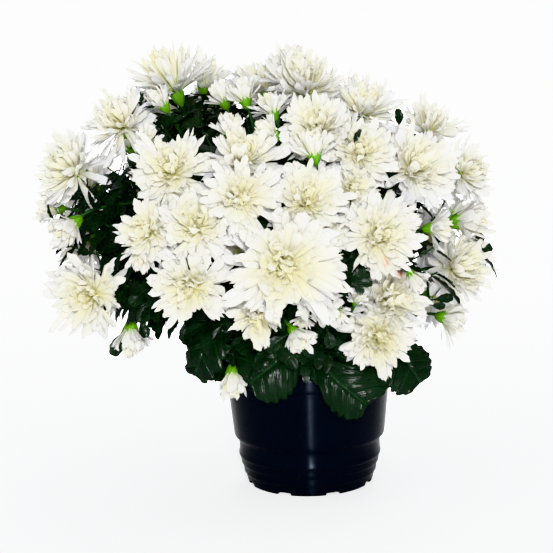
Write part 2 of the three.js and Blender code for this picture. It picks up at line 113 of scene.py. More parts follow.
SMALL_BUDS = [
    ("side_head_02", (-73, 9.9, 319.7), (0.203, -0.352, 0.914), 12.4),
    ("bud_01", (-102.6, -53.2, 299.3), (-0.496, -0.1, 0.863), 10.1),
    ("bud_02", (-58.3, -55.6, 300.9), (-0.362, 0.009, 0.932), 10.1),
    ("bud_03", (-43, -61.1, 302.4), (-0.301, -0.036, 0.953), 11.5),
    ("bud_05", (-23.2, -79.5, 292.2), (-0.314, -0.201, 0.928), 10.5),
    ("bud_06", (-25.8, -96.8, 274.8), (-0.824, -0.247, 0.51), 10.3),
    ("bud_07", (4.2, -117, 263.2), (-0.12, -0.258, 0.959), 12.1),
    ("bud_08", (25.9, -95.3, 273.3), (-0.122, -0.192, 0.974), 12.4),
    ("bud_09", (-184.5, -60.8, 224.7), (-0.946, -0.299, 0.123), 10.9),
    ("bud_13", (93.5, -70.5, 203.2), (0.95, -0.303, 0.077), 10.8),
    ("bud_15", (108.5, -28.9, 130), (0.897, -0.393, -0.204), 12.2),
    ("bud_16", (74.6, -86.0, 168.7), (0.52, -0.42, -0.74), 9.5),
    ("bud_17", (43.8, -108.7, 183.4), (0.238, -0.826, 0.511), 8.9),
    ("bud_29", (32.9, -101.0, 157.7), (0.30, -0.56, 0.77), 6.2),
    ("bud_30", (19.5, -101.0, 148.2), (-0.12, -0.93, -0.35), 6.6),
    ("bud_31", (-50.8, -106.0, 194.1), (-0.10, -0.93, 0.36), 6.8),
    ("bud_32", (-108.3, -92.0, 272.3), (0.42, -0.62, 0.55), 8.0),
    ("bud_19", (4.3, -111.4, 158.8), (0.07, -0.997, 0.041), 13.8),
    ("bud_20", (-112.6, -120.3, 196.6), (-0.143, -0.67, -0.729), 11.5),
    ("bud_21", (-140, 56, 268), (-0.503, 0.503, 0.704), 11),
    ("bud_22", (60, 96, 236), (0.503, 0.704, 0.503), 12),
    ("bud_23", (-30, 84, 294), (0, 0.45, 0.88), 12),
    ("bud_24", (-100, 104, 226), (-0.398, 0.896, 0.199), 13),
    ("bud_25", (72, 92, 168), (0.504, 0.858, -0.101), 12),
    ("bud_26", (-162, 58, 150), (-0.767, 0.563, -0.307), 13),
    ("bud_27", (-8, 122, 108), (0, 0.862, -0.507), 12),
    ("bud_28", (120, 12, 208), (0.913, 0.203, 0.355), 11),
    ("bud_33", (-5.0, -98.0, 143.6), (-0.10, -0.66, -0.74), 6.8),
]
LARGE_LEAVES = [
    ("leaf_1", [(-50, -58, 140), (-65, -78, 138), (-76, -88, 121), (-83, -86, 103)], 16, (-0.5, -0.8, 0.3)),
    ("leaf_2", [(-2, -56, 118), (-12, -77, 119), (-28, -87, 109), (-45, -85, 96)], 22, (-0.15, -0.95, 0.18)),
    ("leaf_3", [(9, -54, 108), (8.5, -78, 106), (24, -88, 92), (40, -87, 78)], 22, (-0.12, -0.95, 0.14)),
    ("leaf_4", [(50, -40, 117), (60, -55, 115), (71, -64, 105), (81, -64, 88.5)], 24, (0.45, -0.85, 0.3)),
    ("leaf_5", [(36, 44, 112), (50, 60, 114), (58, 72, 102), (62, 78, 80)], 20, (0.6, 0.75, 0.3)),
    ("leaf_6", [(-34, 44, 112), (-46, 62, 114), (-56, 74, 102), (-62, 80, 80)], 20, (-0.6, 0.75, 0.3)),
]
SECTORS = (-135, -70, -19, 40, 115)
CROWN_FOOT = np.array([0, 0, 78.0])
CROWN_TOP = np.array([-42, 0, 330.0])
ROOT_RADIUS, ROOT_DEPTH, SOIL_TOP = 27, 18, 79
CANE_BOW, CANE_TOP, SHOOT_FOOT = 33, 205, 98


def unit(v):
    v = np.asarray(v, float)
    return v / np.maximum(np.linalg.norm(v, axis=-1, keepdims=True), 1e-12)


# ------------------------------------------------------------------ materials
def material(name):
    m = bpy.data.materials.new(name)
    m.use_nodes = True
    m.node_tree.nodes.clear()
    return m, m.node_tree.nodes, m.node_tree.links


def link(nt, a, b):
    nt.new(a, b)


class Nodes:
    """Short forms for the node types that the materials below use."""

    def __init__(self, name):
        self.mat, self.n, self.l = material(name)
        self.out = self.n.new("ShaderNodeOutputMaterial")
        self.bsdf = self.n.new("ShaderNodeBsdfPrincipled")
        self.l.new(self.bsdf.outputs[0], self.out.inputs[0])

    def new(self, kind, **props):
        node = self.n.new(kind)
        for k, v in props.items():
            setattr(node, k, v)
        return node

    def put(self, node, **values):
        for k, v in values.items():
            socket = node.inputs[k.replace("_", " ")] if isinstance(k, str) else node.inputs[k]
            socket.default_value = v
        return node

    def math(self, op, a, b=None, clamp=False):
        m = self.new("ShaderNodeMath", operation=op, use_clamp=clamp)
        for i, x in enumerate((a, b)):
            if x is None:
                continue
            if isinstance(x, (int, float)):
                m.inputs[i].default_value = x
            else:
                self.l.new(x, m.inputs[i])
        return m.outputs[0]

    def noise(self, scale, detail=3.0, rough=0.5, vector=None):
        t = self.new("ShaderNodeTexNoise")
        t.inputs["Scale"].default_value = scale
        t.inputs["Detail"].default_value = detail
        t.inputs["Roughness"].default_value = rough
        if vector is not None:
            self.l.new(vector, t.inputs["Vector"])
        return t.outputs["Fac"]

    def ramp(self, fac, stops, smooth=False):
        r = self.new("ShaderNodeValToRGB")
        if smooth:
            r.color_ramp.interpolation = "EASE"
        els = r.color_ramp.elements
        while len(els) < len(stops):
            els.new(0.5)
        for e, (p, c) in zip(els, stops):
            e.position = p
            e.color = (*c, 1) if len(c) == 3 else c
        self.l.new(fac, r.inputs[0])
        return r.outputs[0]

    def mix(self, fac, a, b, blend="MIX"):
        m = self.new("ShaderNodeMix", data_type="RGBA", blend_type=blend)
        for i, x in ((0, fac), (6, a), (7, b)):
            if isinstance(x, (int, float)):
                m.inputs[i].default_value = x
            elif isinstance(x, tuple):
                m.inputs[i].default_value = (*x, 1)
            else:
                self.l.new(x, m.inputs[i])
        return m.outputs[2]

    def bump(self, height, strength, distance):
        b = self.new("ShaderNodeBump")
        b.inputs["Strength"].default_value = strength
        b.inputs["Distance"].default_value = distance
        self.l.new(height, b.inputs["Height"])
        self.l.new(b.outputs[0], self.bsdf.inputs["Normal"])
        return b

    def uv(self):
        t = self.new("ShaderNodeUVMap", uv_map="UVMap")
        s = self.new("ShaderNodeSeparateXYZ")
        self.l.new(t.outputs[0], s.inputs[0])
        return t.outputs[0], s.outputs[0], s.outputs[1]

    def position(self):
        return self.new("ShaderNodeNewGeometry").outputs["Position"]


def mapped(k, vector, scale):
    m = k.new("ShaderNodeMapping")
    m.inputs["Scale"].default_value = scale
    k.l.new(vector, m.inputs["Vector"])
    return m.outputs[0]


def petal_material():
    k = Nodes("petal_white")
    tint = k.new("ShaderNodeAttribute", attribute_name="tint").outputs["Color"]
    uv, u, v = k.uv()
    # fine lengthwise veins, and soft blotches of slightly greyer tissue
    veins = k.noise(1.0, 2.0, 0.6, mapped(k, uv, (26, 1.6, 1)))
    streak = k.ramp(veins, [(0.30, (0.80, 0.80, 0.80)), (0.62, (1, 1, 1))])
    blotch = k.ramp(k.noise(55, 2.0, 0.5, k.position()), [(0.32, (0.94, 0.93, 0.93)), (0.6, (1, 1, 1))])
    # u runs 0 to 1 across each petal: the margin and tip are darkened with a painted buff-grey shade, for the thin
    # shadow where petals overlap, and two creases run along the blade
    across = k.math("FRACT", u)
    from_edge = k.math("MINIMUM", across, k.math("SUBTRACT", 1.0, across))
    from_edge = k.math("MINIMUM", from_edge, k.math("MULTIPLY", k.math("SUBTRACT", 1.0, v), 1.6))
    margin_shade = k.math("SUBTRACT", 1.0, k.math("MULTIPLY", from_edge, 12.0), clamp=True)
    crease = k.math("SUBTRACT", 1.0, k.math("MULTIPLY", k.math("ABSOLUTE", k.math("SUBTRACT", from_edge, 0.30)), 22.0), clamp=True)
    c = k.mix(0.5, tint, streak, "MULTIPLY")
    c = k.mix(0.7, c, blotch, "MULTIPLY")
    # painted shade: margin and tip pulled towards buff grey, for the shadow lines between petals
    c = k.mix(k.math("MULTIPLY", margin_shade, 0.85), c, (0.55, 0.53, 0.47), "MULTIPLY")
    # painted shade: a faint grey line along each crease, for the shade in the groove
    c = k.mix(k.math("MULTIPLY", crease, 0.16), c, (0.66, 0.64, 0.56))
    k.l.new(c, k.bsdf.inputs["Base Color"])
    k.put(k.bsdf, Roughness=0.5, Specular_IOR_Level=0.25)
    k.put(k.bsdf, Sheen_Weight=0.12, Sheen_Roughness=0.4)
    k.bump(k.math("SUBTRACT", veins, k.math("MULTIPLY", crease, 0.8)), 0.4, 0.0004)
    # thin tissue: part of the light comes through
    t = k.new("ShaderNodeBsdfTranslucent")
    k.l.new(c, t.inputs["Color"])
    m = k.new("ShaderNodeMixShader")
    m.inputs[0].default_value = 0.47
    k.l.new(k.bsdf.outputs[0], m.inputs[1])
    k.l.new(t.outputs[0], m.inputs[2])
    k.l.new(m.outputs[0], k.out.inputs[0])
    return k.mat


def calyx_material():
    k = Nodes("calyx_green")
    tint = k.new("ShaderNodeAttribute", attribute_name="tint").outputs["Color"]
    uv, u, v = k.uv()
    veins = k.noise(1.0, 2.0, 0.6, mapped(k, uv, (18, 2, 1)))
    c = k.mix(0.6, tint, k.ramp(veins, [(0.3, (0.62, 0.7, 0.55)), (0.65, (1, 1, 1))]), "MULTIPLY")
    k.l.new(c, k.bsdf.inputs["Base Color"])
    k.put(k.bsdf, Roughness=0.45, Specular_IOR_Level=0.35)
    k.bump(veins, 0.3, 0.0003)
    return k.mat


def leaf_material(name, dark, mid, pale, rough, ripple=0.0):
    """u runs 0 to 1 across the blade, v runs along it; v times the lobe count gives the side veins."""
    k = Nodes(name)
    uv, u, v = k.uv()
    off = k.math("ABSOLUTE", k.math("SUBTRACT", u, 0.5))
    midrib = k.math("LESS_THAN", off, 0.022)
    mid_soft = k.math("SUBTRACT", 1.0, k.math("MULTIPLY", off, 26.0), clamp=True)
    side = k.new("ShaderNodeAttribute", attribute_name="vein").outputs["Fac"]
    vein_line = k.math("SUBTRACT", 1.0, k.math("MULTIPLY", side, 5.5), clamp=True)
    line = k.math("MAXIMUM", mid_soft, k.math("MULTIPLY", vein_line, 0.75))
    tone = k.new("ShaderNodeAttribute", attribute_name="tint").outputs["Color"]
    broad = k.noise(70, 3.0, 0.55, k.position())
    base = k.mix(k.ramp(broad, [(0.3, (0, 0, 0)), (0.7, (1, 1, 1))]), dark, mid)
    base = k.mix(1.0, base, tone, "MULTIPLY")
    c = k.mix(k.math("MULTIPLY", line, 0.55), base, pale)
    k.l.new(c, k.bsdf.inputs["Base Color"])
    fine = k.noise(900, 2.0, 0.6, k.position())
    k.l.new(k.ramp(fine, [(0.25, (rough - 0.07,) * 3), (0.75, (rough + 0.12,) * 3)]), k.bsdf.inputs["Roughness"])
    k.put(k.bsdf, Specular_IOR_Level=0.15)
    height = k.math("ADD", k.math("MULTIPLY", line, -1.0), k.math("MULTIPLY", fine, 0.25))
    if ripple:
        wander = k.math("MULTIPLY", k.noise(160, 2.0, 0.5, k.position()), 7.0)
        waves = k.math("SINE", k.math("ADD", k.math("MULTIPLY", side, 17.0), wander))
        height = k.math("ADD", height, k.math("MULTIPLY", waves, ripple))
    k.bump(height, 0.5, 0.0008)
    return k.mat


def stem_material():
    k = Nodes("stem_green")
    tint = k.new("ShaderNodeAttribute", attribute_name="tint").outputs["Color"]
    uv, u, v = k.uv()
    ribs = k.noise(1.0, 3.0, 0.6, mapped(k, uv, (24, 3, 1)))
    c = k.mix(0.7, tint, k.ramp(ribs, [(0.3, (0.5, 0.5, 0.45)), (0.7, (1, 1, 1))]), "MULTIPLY")
    k.l.new(c, k.bsdf.inputs["Base Color"])
    k.put(k.bsdf, Roughness=0.55, Specular_IOR_Level=0.35)
    k.bump(ribs, 0.5, 0.0004)
    return k.mat


def pot_material():
    k = Nodes("pot_plastic")
    pos = k.position()
    streaks = k.noise(1.0, 3.0, 0.6, mapped(k, pos, (260, 260, 14)))
    rings = k.noise(1.0, 2.0, 0.5, mapped(k, pos, (3, 3, 620)))
    dust = k.noise(38, 4.0, 0.6, pos)
    base = k.ramp(dust, [(0.3, (0.0016, 0.0018, 0.0030)), (0.75, (0.0030, 0.0033, 0.0052))])
    k.l.new(base, k.bsdf.inputs["Base Color"])
    r = k.math("ADD", k.math("MULTIPLY", streaks, 0.16), k.math("MULTIPLY", dust, 0.12))
    k.l.new(k.math("ADD", r, 0.15), k.bsdf.inputs["Roughness"])
    # drawn round and round by the mould: highlights spread up and down the wall
    k.put(k.bsdf, Specular_IOR_Level=0.10, Anisotropic=1.0, Anisotropic_Rotation=0.25)
    k.bsdf.inputs["Specular Tint"].default_value = (0.72, 0.82, 1.0, 1)
    k.bump(k.math("ADD", k.math("MULTIPLY", rings, 0.8), k.math("MULTIPLY", streaks, 0.2)), 0.3, 0.0003)
    return k.mat


def soil_material():
    k = Nodes("peat")
    pos = k.position()
    lumps = k.noise(230, 5.0, 0.65, pos)
    grains = k.noise(900, 3.0, 0.6, pos)
    c = k.ramp(lumps, [(0.28, (0.006, 0.0035, 0.002)), (0.5, (0.028, 0.016, 0.009)), (0.75, (0.07, 0.042, 0.024))])
    k.l.new(c, k.bsdf.inputs["Base Color"])
    k.put(k.bsdf, Roughness=0.95, Specular_IOR_Level=0.2)
    k.bump(k.math("ADD", lumps, k.math("MULTIPLY", grains, 0.5)), 0.9, 0.002)
    return k.mat


def perlite_material():
    k = Nodes("perlite")
    c = k.ramp(k.noise(600, 2.0, 0.5, k.position()), [(0.3, (0.42, 0.40, 0.36)), (0.7, (0.75, 0.73, 0.68))])
    k.l.new(c, k.bsdf.inputs["Base Color"])
    k.put(k.bsdf, Roughness=0.9)
    return k.mat


PETAL = petal_material()
CALYX = calyx_material()
LEAF_BIG = leaf_material("leaf_large", (0.0042, 0.0080, 0.0044), (0.0076, 0.0158, 0.0082), (0.018, 0.043, 0.020), 0.21, 0.10)
LEAF_SMALL = leaf_material("leaf_small", (0.0060, 0.0094, 0.0062), (0.0105, 0.0185, 0.0110), (0.022, 0.046, 0.023), 0.28)
STEM = stem_material()


# --------------------------------------------------------------------- meshes
class Build:
    """Gathers grids of points into one mesh with a UV map, a tint and a vein attribute."""

    def __init__(self):
        self.v, self.f, self.uv, self.c, self.w, self.m = [], [], [], [], [], []
        self.count = 0

    def grids(self, P, UV, C, slot=0, vein=None, flip=False):
        """P: (M, R, K, 3) in millimetres; UV: broadcast to (M, R, K, 2); C: to (M, R, K, 3)."""
        M, R, K, _ = P.shape
        UV = np.broadcast_to(UV, (M, R, K, 2))
        C = np.broadcast_to(C, (M, R, K, 3))
        vein = np.broadcast_to(0.0 if vein is None else vein, (M, R, K))
        idx = np.arange(M * R * K).reshape(M, R, K) + self.count
        q = np.stack([idx[:, :-1, :-1], idx[:, :-1, 1:], idx[:, 1:, 1:], idx[:, 1:, :-1]], -1).reshape(-1, 4)
        if flip:
            q = q[:, ::-1]
        self.v.append(P.reshape(-1, 3))
        self.uv.append(UV.reshape(-1, 2))
        self.c.append(C.reshape(-1, 3))
        self.w.append(vein.reshape(-1))
        self.f.append(q)
        self.m.append(np.full(len(q), slot))
        self.count += M * R * K

    def mesh(self, name, materials, smooth=True):
        v = np.concatenate(self.v).astype(np.float32) * MM
        f = np.concatenate(self.f).astype(np.int32)
        uv = np.concatenate(self.uv).astype(np.float32)
        c = np.concatenate(self.c).astype(np.float32)
        w = np.concatenate(self.w).astype(np.float32)
        me = bpy.data.meshes.new(name)
        me.vertices.add(len(v))
        me.vertices.foreach_set("co", v.ravel())
        me.loops.add(f.size)
        me.loops.foreach_set("vertex_index", f.ravel())
        me.polygons.add(len(f))
        me.polygons.foreach_set("loop_start", np.arange(0, f.size, 4, dtype=np.int32))
        me.polygons.foreach_set("material_index", np.concatenate(self.m).astype(np.int32))
        me.polygons.foreach_set("use_smooth", np.full(len(f), smooth))
        layer = me.uv_layers.new(name="UVMap")
        layer.data.foreach_set("uv", uv[f.ravel()].ravel())
        a = me.color_attributes.new("tint", "FLOAT_COLOR", "POINT")
        a.data.foreach_set("color", np.concatenate([c, np.ones((len(c), 1), np.float32)], 1).ravel())
        b = me.attributes.new("vein", "FLOAT", "POINT")
        b.data.foreach_set("value", w)
        me.update(calc_edges=True)
        me.validate()
        for m in materials:
            me.materials.append(m)
        ob = bpy.data.objects.new(name, me)
        bpy.context.scene.collection.objects.link(ob)
        return ob


def finish_piece(ob, slot_name, *nodes):
    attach(ob, "root")
    if nodes:
        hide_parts(*nodes)
    return ob


# --------------------------------------------------------------------- petals
RINGS = np.array([0.0, 0.14, 0.30, 0.47, 0.63, 0.77, 0.88, 0.955, 1.0])
ACROSS = np.array([-1.0, -0.7, -0.36, 0.0, 0.36, 0.7, 1.0])
# half widths along a petal: one that ends in teeth and one that comes to a point
TOOTHED = np.array([0.34, 0.42, 0.57, 0.76, 0.92, 1.0, 0.97, 0.84, 0.56])
POINTED = np.array([0.34, 0.44, 0.62, 0.82, 0.97, 0.96, 0.76, 0.47, 0.12])
GROOVES = np.array([0.0, -0.046, 0.018, -0.034, 0.018, -0.046, 0.0])


def petals(az, root_r, root_z, theta, bend, curl, length, width, cup_base, cup_tip, twist, sway, point, tip, rings, cols):
    """Petal surfaces in a head's own frame: +Z is the head's axis. Every argument is an array with one value a petal."""
    M = len(az)
    ring_s = RINGS[rings]
    s = ring_s[None, :]
    ang = theta[:, None] + bend[:, None] * s ** 1.3 + curl[:, None] * np.clip((s - 0.6) / 0.4, 0, 1) ** 1.5
    mid = 0.5 * (ang[:, 1:] + ang[:, :-1])
    ds = np.diff(ring_s)[None, :]
    r = np.concatenate([np.zeros((M, 1)), np.cumsum(np.sin(mid) * ds, 1)], 1) * length[:, None] + root_r[:, None]
    z = np.concatenate([np.zeros((M, 1)), np.cumsum(np.cos(mid) * ds, 1)], 1) * length[:, None] + root_z[:, None]
    er = np.stack([np.cos(az), np.sin(az), np.zeros(M)], -1)[:, None, :]
    et = np.stack([-np.sin(az), np.cos(az), np.zeros(M)], -1)[:, None, :]
    ez = np.array([0, 0, 1.0])
    line = er * r[..., None] + ez * z[..., None] + et * (sway * length)[:, None, None] * (s ** 2)[..., None]
    tan = er * np.sin(ang)[..., None] + ez * np.cos(ang)[..., None]
    nor = np.cross(np.broadcast_to(et, tan.shape), tan)      # the side of the petal that faces the head's axis
    tw = (twist[:, None] * s)[..., None]
    side = et * np.cos(tw) + nor * np.sin(tw)
    face = nor * np.cos(tw) - et * np.sin(tw)
    x = ACROSS[cols][None, None, :]
    shape = TOOTHED[rings][None, :] * (1 - point[:, None]) + POINTED[rings][None, :] * point[:, None]
    half = (width[:, None] * 0.5 * shape)[..., None]
    cup = (cup_base[:, None] * (1 - s) + cup_tip[:, None] * s)[..., None]
    # the cross-section is an arc: cup is the angle that each edge has turned through
    turn = np.maximum(np.abs(cup), 1e-3) * np.sign(cup + 1e-9)
    across = half * np.sin(turn * x) / turn
    up = half * (1 - np.cos(turn * x)) / turn
    groove = GROOVES[cols][None, None, :] * width[:, None, None] * np.sin(np.pi * np.clip(s, 0, 0.97))[..., None]
    end = np.where(s > 0.9, (s - 0.9) / 0.1, 0.0)[..., None] * tip[:, None, cols] * length[:, None, None]
    return line[:, :, None, :] + side[:, :, None, :] * across[..., None] + face[:, :, None, :] * (up + groove)[..., None] + tan[:, :, None, :] * end[..., None]


TIPS = np.array([
    [-0.060, -0.010, -0.045, 0.038, -0.045, -0.010, -0.060],
    [-0.055, 0.000, 0.018, -0.022, 0.018, 0.000, -0.055],
    [-0.070, -0.025, 0.018, 0.000, -0.018, 0.010, -0.050],
    [-0.060, -0.018, 0.010, 0.022, 0.010, -0.018, -0.060],
    [-0.050, 0.010, -0.022, 0.022, 0.005, -0.035, -0.075],
    [-0.070, -0.020, 0.014, 0.026, 0.014, -0.020, -0.070],
])

WHITE = np.array([0.925, 0.925, 0.900])
# painted light: the cool blue cast that the front light gives the outer petals
OUTER_FLASH_BLUE = np.array([0.870, 0.875, 0.925])
CREAM = np.array([0.955, 0.935, 0.740])
YELLOW = np.array([0.975, 0.925, 0.480])
THROAT = np.array([0.930, 0.890, 0.360])
RUST = np.array([0.58, 0.16, 0.05])

# rows of a head, outermost first: count, angle from the axis, bend, length, root radius, root height, width
ROWS = [
    (12, 98, 14, 0.90, 0.110, -0.075, 0.236),
    (14, 92, 6, 0.94, 0.110, -0.060, 0.236),
    (16, 86, -4, 0.93, 0.105, -0.045, 0.230),
    (18, 80, -13, 0.91, 0.100, -0.030, 0.218),
    (19, 74, -23, 0.88, 0.095, -0.010, 0.204),
    (19, 67, -32, 0.84, 0.085, 0.010, 0.192),
    (18, 60, -40, 0.79, 0.075, 0.030, 0.182),
    (16, 52, -46, 0.72, 0.060, 0.045, 0.172),
    (14, 43, -50, 0.64, 0.045, 0.055, 0.164),
    (11, 32, -50, 0.55, 0.030, 0.065, 0.158),
    (8, 18, -46, 0.47, 0.015, 0.075, 0.150),
]
# a young head seen from the side: a fan of petals of one length standing up from the green cup
FAN = [
    (14, 70, 16, 1.06, 0.130, -0.060, 0.22),
    (16, 60, 12, 1.14, 0.130, -0.045, 0.22),
    (17, 50, 8, 1.18, 0.125, -0.030, 0.21),
    (16, 41, 4, 1.20, 0.115, -0.010, 0.20),
    (15, 32, 2, 1.20, 0.100, 0.010, 0.20),
    (13, 23, 0, 1.20, 0.080, 0.030, 0.19),
    (10, 14, 0, 1.16, 0.055, 0.045, 0.18),
    (6, 6, 0, 1.10, 0.030, 0.060, 0.18),
]
# heads that face up are still cup-shaped: degrees taken off every row's angle
# brown specks on two petals: x, z and size on the front plane
RUST_SPOTS = [(53.6, 182.9, 1.7), (63.2, 174.3, 2.3)]
OPENNESS = {"flower_17": -14, "flower_18": -10, "flower_20": -14, "flower_16": -6, "flower_03": -6, "flower_04": -4,
            "flower_28": -10, "flower_29": -8, "flower_26": -12, "side_head_13": -14, "side_head_01": -10, "side_head_14": -10}
# old heads whose lowest petals stand apart
SPREAD = {"flower_24", "flower_10", "flower_12"}
LOOSE = {"flower_17", "flower_18", "flower_20", "flower_26", "flower_29", "side_head_13", "flower_03"}
# heads that the wind and their own weight have turned further than the part's plain domes
TURNED = {"flower_04": (-0.72, -0.52, 0.46), "flower_01": (-0.36, -0.16, 0.92)}


def basis(d):
    """A head's axes as columns, +Z along d."""
    d = unit(d)
    a = np.cross(d, [0.0, 0.0, 1.0] if abs(d[2]) < 0.9 else [1.0, 0.0, 0.0])
    a = unit(a)
    b = np.cross(d, a)
    return np.stack([a, b, d], 1)


FINE = (np.arange(9), np.arange(7))
COARSE = (np.array([0, 2, 4, 5, 6, 8]), np.array([0, 1, 3, 5, 6]))


def head_rows(R, local, rows, B, open_by=0.0, wild=1.0, flash_blue=0.3, warm=1.0, fine_rows=4, green=0.0, slim=1.0):
    """Petals, texture places and tints of one head, row by row."""
    out = []
    total = len(rows)
    grow = R / 31.0
    lean = [(local.uniform(4, 11), local.uniform(0, TAU)), (local.uniform(2, 8), local.uniform(0, TAU)), (local.uniform(1, 4), local.uniform(0, TAU))]
    long_side = (local.uniform(0.02, 0.08), local.uniform(0, TAU))
    for k, (n, th, bend, ln, rr, rz, w) in enumerate(rows):
        inner = k / (total - 1)
        if total > 7:
            n = max(4, int(round(n * grow ** 0.75)))
        az = (np.arange(n) + 0.5 * (k % 2) + local.uniform(-0.42, 0.42, n) * wild) * TAU / n + local.uniform(0, TAU)
        if k < 3 and total > 8:
            az = az[local.uniform(0, 1, n) > (0.30, 0.16, 0.08)[k]]
            n = len(az)
        # petals on the lower side hang, those on the upper side are held by their neighbours
        down = -(B[2, 0] * np.cos(az) + B[2, 1] * np.sin(az))
        uneven = sum(a * np.cos((j + 1) * (az - f)) for j, (a, f) in enumerate(lean)) * wild
        az = az + 0.10 * wild * np.sin(3 * az + lean[1][1] + 2 * inner)
        hang = np.clip(down, -0.4, 1) * max(0.0, 1 - 1.9 * inner)
        theta = np.radians(th + open_by * (1 - 0.5 * inner) + 14 * hang + uneven + local.normal(0, 11.5 * wild, n))
        b = np.radians(bend + 8 * hang + local.normal(0, 13 * wild, n))
        curl = np.radians(local.normal(2 - 14 * inner, 22, n)) * wild
        length = R * ln * (1 + local.normal(0, 0.13 * wild, n)) * (1 + long_side[0] * np.cos(2 * (az - long_side[1])))
        width = (31.0 * grow ** 0.35 if total > 7 else R) * w * slim * (1 + local.normal(0, 0.20, n))
        cup0 = 0.85 + 0.25 * inner + local.normal(0, 0.15, n)
        cup1 = 0.10 + 0.70 * inner + local.normal(0, 0.28, n)
        tw = np.radians(local.normal(0, 34 * wild, n))
        sway = local.normal(0, (0.08 + 0.11 * inner) * wild, n)
        point = np.clip(local.uniform(-0.6, 1.15, n), 0, 1) * (1 - 0.75 * inner)
        tip = TIPS[local.integers(0, len(TIPS), n)] * local.uniform(1.0, 2.0, (n, 1)) * (1 - 0.5 * point[:, None]) * (1 - 0.5 * inner)
        rings, cols = FINE if k < fine_rows else COARSE
        P = petals(az, np.full(n, R * rr), np.full(n, R * rz), theta, b, curl, length, width, cup0, cup1, tw, sway, point, tip, rings, cols)
        s = RINGS[rings][None, :, None, None]
        f = inner ** 1.1
        creamy = 0.12 * f + 0.52 * f ** 3
        body = WHITE * (1 - creamy) + (CREAM * 0.7 + YELLOW * 0.3) * creamy
        # painted light: the outer rows take a cool bluish-grey cast, standing for the blue of the front light on them
        outer = flash_blue * max(0.0, 1 - 2.2 * inner)
        body = body * (1 - outer) + OUTER_FLASH_BLUE * outer
        body = body * local.uniform(0.94, 1.03, (n, 1, 1, 1))
        warm_zone = np.clip(1 - s / (0.55 + 0.45 * inner), 0, 1) ** 0.8 * warm
        C = body * (1 - 0.62 * warm_zone) + (CREAM * (1 - inner) + YELLOW * inner) * 0.62 * warm_zone
        reach = (0.14 + 0.14 * inner) * warm
        g = np.clip(1 - s / max(reach, 1e-3), 0, 1) ** 1.2
        C = C * (1 - g) + THROAT * g
        if green:
            g = np.clip(1 - s / 0.36, 0, 1) * green
            C = C * (1 - g) + np.array([0.62, 0.80, 0.22]) * g
        UV = np.stack(np.broadcast_arrays(ACROSS[cols][None, :] * 0.5 + 0.5, RINGS[rings][:, None]), -1)[None]
        UV = np.broadcast_to(UV, P.shape[:-1] + (2,)) + local.integers(0, 40, (n, 1, 1, 1)) * np.array([1.0, 0.0])
        # ends of the outer petals sag a little
        sag = (0.02 + 0.10 * local.uniform(0, 1, n) ** 2) * length * max(0.0, 1 - 1.4 * inner)
        drop = sag[:, None, None] * RINGS[rings][None, :, None] ** 2
        out.append((P, UV, np.broadcast_to(C, P.shape), np.broadcast_to(drop, P.shape[:-1])))
    return out


def press(P, centre, axis, R, planes, slack):
    """Neighbouring heads crowd each other: points past a shared plane are drawn back towards it."""
    for n, off in planes:
        d = off + slack - P @ n          # distance left before the plane, positive inside
        soft = 7.0
        over = d < soft
        new = np.where(over, soft * np.exp(np.clip((d - soft) / soft, -6, 0)), d)
        move = (new - d)
        P = P - move[..., None] * n * 0.85 + move[..., None] * axis * 0.22
    return P


